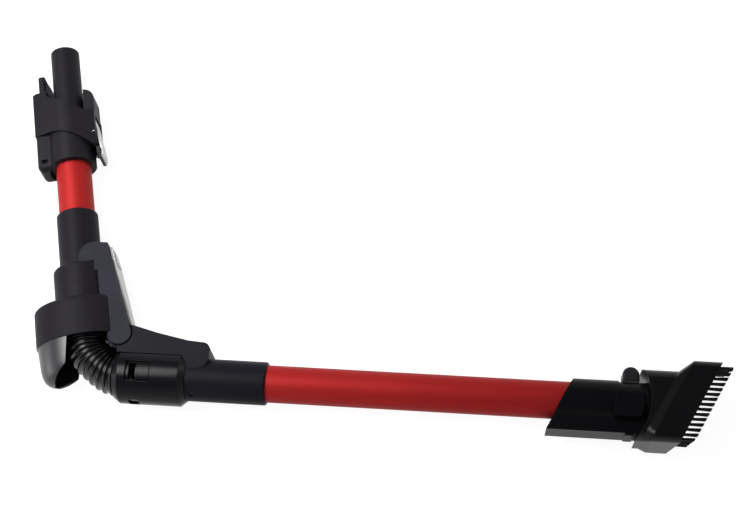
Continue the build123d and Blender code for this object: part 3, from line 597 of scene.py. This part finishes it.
def drawn_lines():
    """Long faint lines that drawing leaves along a metal tube."""
    if "drawn_lines" in bpy.data.node_groups:
        return bpy.data.node_groups["drawn_lines"]
    group, entry, result = new_group(
        "drawn_lines",
        (
            ("Place", "NodeSocketVector", (0.0, 0.0, 0.0)),
            ("Roughness", "NodeSocketFloat", 0.35),
            ("Line depth", "NodeSocketFloat", 0.08),
        ),
        (("Roughness", "NodeSocketFloat"), ("Height", "NodeSocketFloat")),
    )
    lines = noise(group, 1.0, 3.0, 0.6)
    links = group.links
    links.new(entry.outputs["Place"], lines.inputs["Vector"])
    centred = math_node(group, "SUBTRACT", lines.outputs["Fac"], 0.5)
    depth = math_node(group, "MULTIPLY", centred, entry.outputs["Line depth"])
    sheen = math_node(group, "ADD", entry.outputs["Roughness"], depth)
    links.new(sheen, result.inputs["Roughness"])
    links.new(lines.outputs["Fac"], result.inputs["Height"])
    return group


# Finishes


def new_finish(name):
    """A node material with its shader, ready for links."""
    material = bpy.data.materials.new(name)
    material.use_nodes = True
    shader = material.node_tree.nodes["Principled BSDF"]
    return material, material.node_tree, shader


def place_group(tree, group):
    """A shared effect placed in a material."""
    node = tree.nodes.new("ShaderNodeGroup")
    node.node_tree = group
    return node


def add_bump(tree, shader, height, distance, strength, edge=0.0):
    """Relief on the shader's normal, with the edges of the moulding eased by a radius."""
    bump = tree.nodes.new("ShaderNodeBump")
    bump.inputs["Distance"].default_value = distance
    bump.inputs["Strength"].default_value = strength
    tree.links.new(height, bump.inputs["Height"])
    if edge:
        eased = tree.nodes.new("ShaderNodeBevel")
        eased.samples = 6
        eased.inputs["Radius"].default_value = edge
        tree.links.new(eased.outputs["Normal"], bump.inputs["Normal"])
    tree.links.new(bump.outputs["Normal"], shader.inputs["Normal"])


def add_marks(tree, shader, colour, rubbed, amount):
    """The shader's colour, with rubbed patches in a multiple of it."""
    marks = place_group(tree, handling_marks())
    marks.inputs["Colour"].default_value = (*colour, 1.0)
    marks.inputs["Rubbed colour"].default_value = (*(min(1.0, rubbed * c) for c in colour), 1.0)
    marks.inputs["Amount"].default_value = amount
    tree.links.new(marks.outputs["Colour"], shader.inputs["Base Color"])


def moulded_plastic(
    name, colour, roughness, grain, depth, gloss, rubbed=2.2, amount=0.5, edge=0.0006
):
    """Moulded plastic: grain, drifting sheen, rubbed patches and eased edges."""
    material, tree, shader = new_finish(name)
    shader.inputs["Specular IOR Level"].default_value = gloss
    add_marks(tree, shader, colour, rubbed, amount)
    texture = place_group(tree, mould_grain())
    texture.inputs["Grain per metre"].default_value = grain
    texture.inputs["Roughness"].default_value = roughness
    tree.links.new(texture.outputs["Roughness"], shader.inputs["Roughness"])
    add_bump(tree, shader, texture.outputs["Height"], GRAIN_RELIEF, depth, edge)
    return material


def tube_metal(name, colour, turn):
    """Satin lacquered tube with drawn lines along its axis."""
    material, tree, shader = new_finish(name)
    place = tree.nodes.new("ShaderNodeTexCoord")
    along = tree.nodes.new("ShaderNodeMapping")
    along.vector_type = "TEXTURE"
    along.inputs["Rotation"].default_value = (0.0, 0.0, turn)
    line_length, line_width = 0.25, 0.0011
    along.inputs["Scale"].default_value = (line_length, line_width, line_width)
    tree.links.new(place.outputs["Object"], along.inputs["Vector"])
    lines = place_group(tree, drawn_lines())
    lines.inputs["Roughness"].default_value = 0.52
    tree.links.new(along.outputs["Vector"], lines.inputs["Place"])
    tree.links.new(lines.outputs["Roughness"], shader.inputs["Roughness"])
    add_marks(tree, shader, colour, rubbed=1.25, amount=0.5)
    shader.inputs["Metallic"].default_value = 0.3
    shader.inputs["Specular IOR Level"].default_value = 0.12
    add_bump(tree, shader, lines.outputs["Height"], LINE_RELIEF, strength=0.12)
    return material


def bare_metal(name, colour, roughness, metallic=1.0):
    """Plain turned or stamped metal with fine tool marks."""
    material, tree, shader = new_finish(name)
    texture = place_group(tree, mould_grain())
    texture.inputs["Grain per metre"].default_value = 1500.0
    texture.inputs["Roughness"].default_value = roughness
    texture.inputs["Roughness drift"].default_value = 0.2
    tree.links.new(texture.outputs["Roughness"], shader.inputs["Roughness"])
    add_marks(tree, shader, colour, rubbed=0.8, amount=0.6)
    shader.inputs["Metallic"].default_value = metallic
    add_bump(tree, shader, texture.outputs["Height"], LINE_RELIEF, strength=0.2, edge=0.0003)
    return material


# Operators, one for each group of like pieces


class WAND_OT_stage(bpy.types.Operator):
    """White floor, soft lamps and the camera"""

    bl_idname = "wand.stage"
    bl_label = "Stage"

    # Drop of the floor under the wand, and the point that the lamps light, from the hinge
    floor_drop = 0.0003
    lit_point = (-0.05, 0.1, 0.0)

    def execute(self, context):
        stage = context.scene.wand_stage
        self.lay_floor(stage)
        self.light_world(context, stage)
        target = Vector(stage.target)
        # Name, place from the camera's target, width and height, and power
        lamps = (
            ("key_lamp", (-0.7, 0.1, 0.95), (0.9, 0.7), stage.key_power),
            ("fill_lamp", (1.4, 0.5, 0.35), (0.8, 0.5), stage.fill_power),
            ("strip_lamp", (0.1, 1.2, 0.7), (1.6, 0.25), stage.strip_power),
            ("side_lamp", (-1.4, -0.45, 0.3), (0.8, 0.5), stage.side_power),
        )
        for name, place, size, power in lamps:
            self.hang_lamp(name, target + Vector(place), size, power)
        bpy.data.lights["key_lamp"].spread = stage.key_spread
        self.set_camera(context, stage)
        context.scene.view_settings.view_transform = "Standard"
        return {"FINISHED"}

    def lay_floor(self, stage):
        start_fresh()
        bpy.ops.mesh.primitive_plane_add(size=stage.floor_size, location=(0.0, 0.0, -self.floor_drop))
        floor = bpy.context.object
        floor.name = "floor"
        bpy.ops.object.transform_apply(location=True)
        material, tree, shader = new_finish("floor_white")
        shader.inputs["Base Color"].default_value = (*stage.floor_white, 1.0)
        shader.inputs["Roughness"].default_value = 0.9
        shader.inputs["Specular IOR Level"].default_value = 0.1
        glow = tree.nodes.new("ShaderNodeEmission")
        glow.inputs["Color"].default_value = (1.0, 1.0, 1.0, 1.0)
        seen = self.seen_rays(tree)
        lift = math_node(tree, "MULTIPLY", seen, stage.floor_lift)
        total = tree.nodes.new("ShaderNodeAddShader")
        out = tree.nodes["Material Output"]
        tree.links.new(lift, glow.inputs["Strength"])
        tree.links.new(shader.outputs[0], total.inputs[0])
        tree.links.new(glow.outputs[0], total.inputs[1])
        tree.links.new(total.outputs[0], out.inputs["Surface"])
        floor.data.materials.append(material)

    def light_world(self, context, stage):
        world = bpy.data.worlds.new("studio")
        context.scene.world = world
        world.use_nodes = True
        tree = world.node_tree
        soft = tree.nodes["Background"]
        soft.inputs["Color"].default_value = (1.0, 1.0, 1.0, 1.0)
        place = tree.nodes.new("ShaderNodeTexCoord")
        height = tree.nodes.new("ShaderNodeSeparateXYZ")
        tree.links.new(place.outputs["Generated"], height.inputs["Vector"])
        fade = tree.nodes.new("ShaderNodeMapRange")
        fade.interpolation_type = "SMOOTHSTEP"
        fade.inputs["From Max"].default_value = stage.sky_dark_from
        fade.inputs["To Min"].default_value = 1.0
        fade.inputs["To Max"].default_value = stage.sky_top
        tree.links.new(height.outputs["Z"], fade.inputs["Value"])
        level = tree.nodes.new("ShaderNodeMapRange")
        level.inputs["To Min"].default_value = stage.sky_level
        tree.links.new(fade.outputs["Result"], level.inputs["To Max"])
        tree.links.new(self.seen_rays(tree), level.inputs["Value"])
        tree.links.new(level.outputs["Result"], soft.inputs["Strength"])

    def seen_rays(self, tree):
        """1 for the rays that show the ground straight, mirrored or through glass."""
        rays = tree.nodes.new("ShaderNodeLightPath")
        seen = rays.outputs["Is Camera Ray"]
        for kind in ("Is Glossy Ray", "Is Transmission Ray"):
            seen = math_node(tree, "MAXIMUM", seen, rays.outputs[kind])
        return seen

    def hang_lamp(self, name, place, size, power):
        light = bpy.data.lights.new(name, "AREA")
        light.shape = "RECTANGLE"
        light.size, light.size_y = size
        light.energy = power
        lamp = bpy.data.objects.new(name, light)
        bpy.context.scene.collection.objects.link(lamp)
        aim = hinge + Vector(self.lit_point) - place
        lamp.location = place
        lamp.rotation_euler = aim.to_track_quat("-Z", "Y").to_euler()

    def set_camera(self, context, stage):
        turn, rise = stage.azimuth, stage.elevation
        back = Vector((sin(turn) * cos(rise), -cos(turn) * cos(rise), sin(rise)))
        right = Vector((0.0, 0.0, 1.0)).cross(back).normalized()
        up = back.cross(right)
        level, tip = cos(stage.roll), sin(stage.roll)
        across = level * right + tip * up
        upright = level * up - tip * right
        camera = bpy.data.objects.new("camera", bpy.data.cameras.new("camera"))
        context.scene.collection.objects.link(camera)
        axes = Matrix((across, upright, back)).transposed().to_4x4()
        axes.translation = Vector(stage.target) + stage.distance * back
        camera.matrix_world = axes
        camera.data.lens = stage.lens
        camera.data.sensor_width = 36.0
        camera.data.clip_start = 0.05
        camera.data.clip_end = 20.0
        context.scene.camera = camera


class WAND_OT_tubes(bpy.types.Operator):
    """Satin red on the two tubes"""

    bl_idname = "wand.tubes"
    bl_label = "Tubes"

    def execute(self, context):
        red = context.scene.wand_finish.tube_red
        paint(tube_metal("lower_tube_red", red, 0.0), "lower_tube")
        paint(tube_metal("upper_tube_red", red, pi - bend), "upper_tube")
        return {"FINISHED"}


class WAND_OT_elbow(bpy.types.Operator):
    """Mouldings, trim and metal of the flexing elbow"""

    bl_idname = "wand.elbow"
    bl_label = "Elbow"

    def execute(self, context):
        finish = context.scene.wand_finish
        collar = moulded_plastic(
            "elbow_collar", finish.moulding_black, roughness=0.5, grain=2600.0, depth=0.35, gloss=0.07
        )
        paint(collar, "upper_socket")
        cuff = moulded_plastic(
            "cuff_black", finish.polished_black, roughness=0.2, grain=2600.0, depth=0.03, gloss=0.11
        )
        paint(cuff, "hose_upper_cuff", "hose_lower_cuff", "socket_ring")
        arm = moulded_plastic(
            "hinge_grey", finish.arm_grey, roughness=0.5, grain=2200.0, depth=0.3, gloss=0.07
        )
        paint(arm, "hinge_arm")
        saddle_shade = 0.48
        saddle_grey = [saddle_shade * channel for channel in finish.arm_grey]
        saddle = moulded_plastic(
            "saddle_black", saddle_grey, roughness=0.42, grain=2200.0, depth=0.25, gloss=0.05
        )
        paint(saddle, "hinge_saddle")
        trim = moulded_plastic(
            "flex_trim_grey", finish.trim_grey,
            roughness=0.34, grain=2600.0, depth=0.02, gloss=0.4, rubbed=0.95, amount=0.1, edge=0.0,
        )
        paint(trim, "flex_trim", "flex_button")
        steel = bare_metal("pin_steel", finish.pin_steel, roughness=0.34)
        paint(steel, "hinge_pin")
        # The collar screws are real parts, but their black colour is painted shade standing for the dark
        # holes they sit in
        screw_painted_shade = bare_metal("screw_painted_shade", finish.polished_black, roughness=0.4, metallic=0.5)
        paint(screw_painted_shade, "collar_screw_near", "collar_screw_far")
        return {"FINISHED"}


class WAND_OT_shroud(bpy.types.Operator):
    """Shroud, with a full and polished tongue behind the bend"""

    bl_idname = "wand.shroud"
    bl_label = "Shroud"

    # Powers by which the filling grows towards the tip, to the back and to the sides
    back_growth = 2.5
    side_growth = 3

    def execute(self, context):
        size = context.scene.wand_shroud
        shell = copy_of(frame["nodes"]["shroud"], "elbow_shroud")
        shell.parent = None
        shell.matrix_world = frame["nodes"]["shroud"].matrix_world
        settle(shell)
        self.fill_tongue(size, shell)
        choose(shell)
        bpy.ops.mesh.customdata_custom_splitnormals_clear()
        bpy.ops.object.shade_smooth_by_angle(angle=radians(35.0))
        dress(shell, self.finish(size, context.scene.wand_finish))
        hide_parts("shroud")
        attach(shell, "upper")
        return {"FINISHED"}

    def fill_tongue(self, size, shell):
        """Moves the tongue's wall out from its open edge, most at its tip."""
        foot = hinge - size.axis_offset * upper_across
        for vertex in shell.data.vertices:
            place = vertex.co - foot
            share = (size.seam - place.dot(upper_along)) / size.depth
            if share <= 0.0:
                continue
            back = min(place.dot(upper_across) + size.edge, 0.0)
            vertex.co += size.back_gain * share**self.back_growth * back * upper_across
            vertex.co.z += size.side_gain * share**self.side_growth * place.z

    def finish(self, size, finish):
        """Grained plastic over the seam and polished plastic under it."""
        material = moulded_plastic(
            "shroud_black", finish.moulding_black, roughness=0.5, grain=2600.0, depth=0.35, gloss=0.07
        )
        tree = material.node_tree
        shader = tree.nodes["Principled BSDF"]
        place = tree.nodes.new("ShaderNodeTexCoord")
        height = tree.nodes.new("ShaderNodeVectorMath")
        height.operation = "DOT_PRODUCT"
        height.inputs[1].default_value = upper_along
        tree.links.new(place.outputs["Object"], height.inputs[0])
        seam = hinge.dot(upper_along) + size.seam
        polished = math_node(tree, "LESS_THAN", height.outputs["Value"], seam)
        shader.inputs["Coat Roughness"].default_value = 0.3
        tree.links.new(polished, shader.inputs["Coat Weight"])
        return material


class WAND_OT_coupling(bpy.types.Operator):
    """Mouldings, latch and contacts of the suction coupling"""

    bl_idname = "wand.coupling"
    bl_label = "Coupling"

    def execute(self, context):
        finish = context.scene.wand_finish
        shell = moulded_plastic(
            "coupling_black", finish.moulding_black, roughness=0.5, grain=2600.0, depth=0.35, gloss=0.1
        )
        paint(shell, "coupling_collar", "coupling_housing", "suction_spigot", "contact_post")
        lever = moulded_plastic(
            "latch_black", finish.polished_black, roughness=0.32, grain=1600.0, depth=0.15, gloss=0.2
        )
        paint(lever, "latch_lever")
        cap = bare_metal("latch_silver", finish.latch_silver, roughness=0.36, metallic=0.7)
        paint(cap, "latch_cap")
        brass = bare_metal("contact_brass", finish.contact_brass, roughness=0.3)
        paint(brass, "contact_blade_near", "contact_blade_far", "end_contacts")
        steel = bare_metal("latch_pin_steel", finish.pin_steel, roughness=0.3)
        paint(steel, "latch_pin")
        return {"FINISHED"}


class WAND_OT_tool_end(bpy.types.Operator):
    """Mouldings of the end sleeve, its button and the dusting brush"""

    bl_idname = "wand.tool_end"
    bl_label = "Tool end"

    def execute(self, context):
        finish = context.scene.wand_finish
        sleeve = moulded_plastic(
            "sleeve_black", finish.polished_black, roughness=0.3, grain=2000.0, depth=0.12, gloss=0.06
        )
        paint(sleeve, "end_sleeve", "end_channel_cover")
        button = moulded_plastic(
            "button_black", finish.moulding_black, roughness=0.46, grain=2400.0, depth=0.3, gloss=0.4
        )
        paint(button, "tool_button")
        nozzle = moulded_plastic(
            "brush_black", finish.polished_black, roughness=0.3, grain=2000.0, depth=0.1, gloss=0.2
        )
        paint(nozzle, "brush_nozzle")
        return {"FINISHED"}


class WAND_OT_hose(bpy.types.Operator):
    """Corrugated hose: one ring carried round the hinge, rib by rib"""

    bl_idname = "wand.hose"
    bl_label = "Corrugated hose"

    # Along one rib as a share of its pitch, and up it as a share of its height
    profile = (
        (0.08, 0.0),
        (0.2, 0.22),
        (0.3, 0.68),
        (0.4, 0.94),
        (0.5, 1.0),
        (0.6, 0.94),
        (0.7, 0.68),
        (0.8, 0.22),
        (0.92, 0.0),
        (1.0, 0.0),
    )

    # Distance that its sides may lie from those of its solid, with room for the pull
    place_tolerance = 0.004

    def execute(self, context):
        size = context.scene.wand_hose
        pitch_angle = bend / size.ribs
        pitch = pitch_angle * size.axis_offset
        reach = size.end_ribs * pitch
        start_fresh()
        bpy.ops.mesh.primitive_circle_add(
            vertices=size.sides,
            radius=size.root,
            location=hinge + Vector((reach, -size.axis_offset, 0.0)),
            rotation=(0.0, pi / 2, 0.0),
        )
        hose = bpy.context.object
        hose.name = "corrugated_hose"
        bpy.ops.object.transform_apply(location=True, rotation=True)
        bpy.ops.object.mode_set(mode="EDIT")
        bpy.ops.mesh.select_all(action="SELECT")
        self.radius = size.root
        self.turned = 0.0
        self.straight = -reach
        # Number of ribs, and the run and turn of each
        stretches = (
            (size.end_ribs, pitch, 0.0),
            (size.ribs, 0.0, pitch_angle),
            (size.end_ribs, pitch, 0.0),
        )
        for ribs, run, turn in stretches:
            for _ in range(ribs):
                self.add_rib(size, run, turn)
        bpy.ops.object.mode_set(mode="OBJECT")
        settle(hose)
        self.draw_in(size, hose)
        wall = hose.modifiers.new("wall", "SOLIDIFY")
        wall.thickness = size.wall
        wall.offset = -1.0
        apply_modifiers(hose)
        bpy.ops.object.shade_smooth()
        self.check_place(hose)
        finish = context.scene.wand_finish
        rubber = moulded_plastic(
            "hose_black", finish.hose_black, roughness=0.2, grain=2600.0, depth=0.03, gloss=0.5, edge=0.0
        )
        dress(hose, rubber)
        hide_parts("hose")
        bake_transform(hose)
        return {"FINISHED"}

    def add_rib(self, size, pitch, pitch_angle):
        """Carries the open ring over one rib, straight along the hose or round the hinge."""
        height = size.crest - size.root
        before = 0.0
        for share, rise in self.profile:
            part = share - before
            self.step(size, part * pitch, part * pitch_angle, size.root + rise * height)
            before = share

    def step(self, size, run, turn, radius):
        """Extrudes the ring to its next place and radius."""
        heading = Vector((-cos(self.turned), sin(self.turned), 0.0))
        bpy.ops.mesh.extrude_region_move(TRANSFORM_OT_translate={"value": run * heading})
        if turn:
            bpy.ops.transform.rotate(value=turn, orient_axis="Z", center_override=hinge)
            self.turned += turn
            self.straight = 0.0
        heading = Vector((-cos(self.turned), sin(self.turned), 0.0))
        self.straight += run
        outward = Vector((-sin(self.turned), -cos(self.turned), 0.0))
        centre = hinge + size.axis_offset * outward + self.straight * heading
        grown = radius / self.radius
        bpy.ops.transform.resize(value=(grown, grown, grown), center_override=centre)
        self.radius = radius

    def draw_in(self, size, hose):
        """Draws the bend in towards the hinge, most in its middle and not at all at its ends."""
        towards = Vector((sin(bend / 2), cos(bend / 2), 0.0))
        for vertex in hose.data.vertices:
            place = vertex.co - hinge
            turned = atan2(-place.x, -place.y)
            share = sin(pi * min(max(turned / bend, 0.0), 1.0)) ** 2
            vertex.co += share * size.pull * towards

    def check_place(self, hose):
        """The hose lies where its solid does, within the tolerance."""
        low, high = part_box("hose")
        for axis in range(3):
            reach = [vertex.co[axis] for vertex in hose.data.vertices]
            off = max(abs(min(reach) - low[axis]), abs(max(reach) - high[axis]))
            if off > self.place_tolerance:
                raise RuntimeError(
                    f"the hose left its place along axis {axis}: "
                    f"{min(reach):.4f}..{max(reach):.4f}, solid {low[axis]:.4f}..{high[axis]:.4f}"
                )


class WAND_OT_bristles(bpy.types.Operator):
    """Tufts of filaments in a U round the brush mouth"""

    bl_idname = "wand.bristles"
    bl_label = "Bristles"

    # Tip of a filament: its width as a share of the root's, and how far it is bent aside
    tip_share = 0.62
    tip_bend = (0.00012, 0.00006, 0.0)

    # Filaments in a tuft: limit of its round section, wander of the roots, fan and stray of the tips
    round_limit = 0.42
    wander = 0.00009
    fan_along = 0.075
    fan_through = 0.03
    stray = 0.012

    # Length of the filaments as a share: the least, what is added unevenly, and what the sides lose
    least_length = 0.955
    uneven_length = 0.04
    side_loss = 0.16

    # Lean of the tufts to and fro along their row
    tuft_lean = 0.02

    def execute(self, context):
        size = context.scene.wand_brush
        strand = self.model_strand(size)
        tuft = self.model_tuft(size, strand)
        rows = self.plant_tufts(size, tuft)
        strip = self.model_strip(size)
        choose(rows, strip)
        bpy.ops.object.join()
        rows.name = "bristle_rows"
        lean = size.slant
        up_slant = Vector((sin(lean), cos(lean), 0.0))
        rim = hinge + Vector((size.mouth, -size.axis_offset, 0.0)) + size.middle * up_slant
        axes = Matrix((up_slant, (0.0, 0.0, 1.0), (1.0, 0.0, 0.0))).transposed().to_4x4()
        axes.translation = rim
        rows.data.transform(axes)
        choose(rows)
        bpy.ops.object.shade_smooth_by_angle(angle=radians(50.0))
        finish = context.scene.wand_finish
        filament = moulded_plastic(
            "bristle_black", finish.bristle_black,
            roughness=0.42, grain=3000.0, depth=0.2, gloss=0.2, rubbed=3.0, amount=0.8, edge=0.0,
        )
        dress(rows, filament)
        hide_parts("bristles")
        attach(rows, "brush")
        return {"FINISHED"}

    def model_strand(self, size):
        """One filament, thinner and bent a little towards its tip."""
        length = size.tuft_reach + size.strip_sink
        start_fresh()
        bpy.ops.mesh.primitive_cylinder_add(
            vertices=5,
            radius=size.strand_radius,
            depth=length,
            end_fill_type="NGON",
            location=(0.0, 0.0, length / 2 - size.strip_sink),
        )
        strand = bpy.context.object
        bpy.ops.object.transform_apply(location=True)
        bpy.ops.object.mode_set(mode="EDIT")
        for share in (0.45, 0.75):
            bpy.ops.mesh.select_all(action="SELECT")
            bpy.ops.mesh.bisect(
                plane_co=(0.0, 0.0, share * length - size.strip_sink), plane_no=(0.0, 0.0, 1.0)
            )
        bpy.ops.mesh.select_all(action="DESELECT")
        bpy.ops.object.mode_set(mode="OBJECT")
        tip = size.tuft_reach
        for vertex in strand.data.vertices:
            vertex.select = vertex.co.z > tip - SAME_LEVEL
        bpy.ops.object.mode_set(mode="EDIT")
        bpy.ops.mesh.select_mode(type="VERT")
        thin = (self.tip_share, self.tip_share, 1.0)
        bpy.ops.transform.resize(value=thin, center_override=(0.0, 0.0, tip))
        bpy.ops.transform.translate(value=self.tip_bend)
        bpy.ops.object.mode_set(mode="OBJECT")
        return strand

    def model_tuft(self, size, strand):
        """A bundle of filaments that fan out a little and end unevenly, scattered by their order."""
        strands = []
        for row in range(size.strands_along):
            for column in range(size.strands_across):
                order = row * size.strands_across + column
                across = (row + 0.5) / size.strands_along - 0.5
                through = (column + 0.5) / size.strands_across - 0.5
                if across * across + through * through > self.round_limit:
                    continue
                twin = copy_of(strand, f"strand_{order}")
                sway = self.wander * sin(12.9 * order)
                nod = self.wander * cos(7.3 * order)
                fan = Matrix.Identity(4)
                fan[0][2] = self.fan_along * across + self.stray * sin(5.1 * order)
                fan[1][2] = self.fan_through * through + self.stray * cos(3.7 * order)
                longer = self.uneven_length * abs(sin(2.3 * order))
                fan[2][2] = self.least_length + longer - self.side_loss * across * across
                spin = Matrix.Rotation(2.4 * order, 4, "Z")
                spot = Matrix.Translation(
                    (across * size.tuft_width + sway, through * size.tuft_depth + nod, 0.0)
                )
                twin.data.transform(spot @ fan @ spin)
                strands.append(twin)
        bpy.data.objects.remove(strand)
        choose(*strands)
        bpy.ops.object.join()
        return bpy.context.object

    def plant_tufts(self, size, tuft):
        """Tufts along the long row and down both end rows."""
        pitch = 2 * size.row_half / (size.tufts - 1)
        spots = []
        for place in range(size.tufts):
            along = (place - (size.tufts - 1) / 2) * pitch * size.row_share
            spots.append((along, size.row_side, 0.0))
        for end in (1, -1):
            for place in range(size.end_tufts):
                spots.append((end * size.row_half, size.row_side - (place + 1) * pitch, pi / 2))
        planted = []
        for order, (along, height, turn) in enumerate(spots):
            twin = copy_of(tuft, f"tuft_{order}")
            half_turn = pi * (order % 2)
            drop = max(0.0, size.fall_start - height) * tan(size.fall)
            lean = Matrix.Identity(4)
            lean[0][2] = self.tuft_lean * sin(4.7 * order)
            spot = Matrix.Translation((along, height, -drop))
            twin.data.transform(spot @ lean @ Matrix.Rotation(turn + half_turn, 4, "Z"))
            planted.append(twin)
        bpy.data.objects.remove(tuft)
        choose(*planted)
        bpy.ops.object.join()
        return bpy.context.object

    def model_strip(self, size):
        """The holder of the tufts, extruded round the mouth as a U."""
        half = size.strip / 2
        start_fresh()
        bpy.ops.mesh.primitive_cube_add(
            size=1.0,
            location=(-size.row_half, size.row_side, size.strip_height / 2 - size.strip_sink),
            scale=(size.strip, size.strip, size.strip_height),
        )
        strip = bpy.context.object
        bpy.ops.object.transform_apply(location=True, scale=True)
        right, down = Vector((1, 0, 0)), Vector((0, -1, 0))
        self.extrude_side(strip, right, -size.row_half + half, 2 * size.row_half - size.strip)
        self.extrude_side(strip, right, size.row_half - half, size.strip)
        foot = size.row_side - half
        for end in (1, -1):
            self.extrude_side(strip, down, -foot, size.end_row, end * size.row_half)
        self.lower_tips(strip, foot - size.end_row, size.end_row * tan(size.fall))
        ease = strip.modifiers.new("ease", "BEVEL")
        ease.width = 0.0004
        ease.segments = 2
        apply_modifiers(strip)
        return strip

    def extrude_side(self, strip, normal, level, run, near=None):
        """Extrudes the strip's faces that look along the normal at this level."""
        choose(strip)
        for face in strip.data.polygons:
            facing = face.normal.dot(normal) > 0.99
            at_level = abs(face.center.dot(normal) - level) < SAME_LEVEL
            beside = near is None or abs(face.center.x - near) < 0.001
            face.select = facing and at_level and beside
        bpy.ops.object.mode_set(mode="EDIT")
        bpy.ops.mesh.select_mode(type="FACE")
        bpy.ops.mesh.extrude_region_move(TRANSFORM_OT_translate={"value": run * normal})
        bpy.ops.object.mode_set(mode="OBJECT")

    def lower_tips(self, strip, level, drop):
        """Lowers the outer edge of both end rows, so that they follow the rim."""
        choose(strip)
        bpy.ops.object.mode_set(mode="EDIT")
        bpy.ops.mesh.select_mode(type="VERT")
        bpy.ops.mesh.select_all(action="DESELECT")
        bpy.ops.object.mode_set(mode="OBJECT")
        top = max(vertex.co.z for vertex in strip.data.vertices)
        for vertex in strip.data.vertices:
            vertex.select = vertex.co.y < level + SAME_LEVEL and vertex.co.z > top - SAME_LEVEL
        bpy.ops.object.mode_set(mode="EDIT")
        bpy.ops.transform.translate(value=(0.0, 0.0, -drop))
        bpy.ops.object.mode_set(mode="OBJECT")


class WAND_PT_panel(bpy.types.Panel):
    """Lists the wand's operators and sizes in the sidebar"""

    bl_idname = "WAND_PT_panel"
    bl_label = "Flexible vacuum wand"
    bl_space_type = "VIEW_3D"
    bl_region_type = "UI"
    bl_category = "Wand"

    def draw(self, context):
        layout = self.layout
        for operator in operators:
            layout.operator(operator.bl_idname)
        for name, group in property_groups.items():
            for field in group.__annotations__:
                layout.prop(getattr(context.scene, name), field)


property_groups = {
    "wand_finish": WandFinish,
    "wand_hose": WandHose,
    "wand_shroud": WandShroud,
    "wand_brush": WandBrush,
    "wand_stage": WandStage,
}
operators = (
    WAND_OT_stage,
    WAND_OT_tubes,
    WAND_OT_elbow,
    WAND_OT_shroud,
    WAND_OT_coupling,
    WAND_OT_tool_end,
    WAND_OT_hose,
    WAND_OT_bristles,
)


def register():
    for name, group in property_groups.items():
        bpy.utils.register_class(group)
        setattr(bpy.types.Scene, name, PointerProperty(type=group))
    for operator in operators:
        bpy.utils.register_class(operator)
    bpy.utils.register_class(WAND_PT_panel)


def unregister():
    bpy.utils.unregister_class(WAND_PT_panel)
    for operator in reversed(operators):
        bpy.utils.unregister_class(operator)
    for name, group in property_groups.items():
        delattr(bpy.types.Scene, name)
        bpy.utils.unregister_class(group)


def main():
    register()
    bpy.ops.wand.stage()
    bpy.ops.wand.tubes()
    bpy.ops.wand.elbow()
    bpy.ops.wand.shroud()
    bpy.ops.wand.coupling()
    bpy.ops.wand.tool_end()
    bpy.ops.wand.hose()
    bpy.ops.wand.bristles()
    start_fresh()


if __name__ == "__main__":
    main()
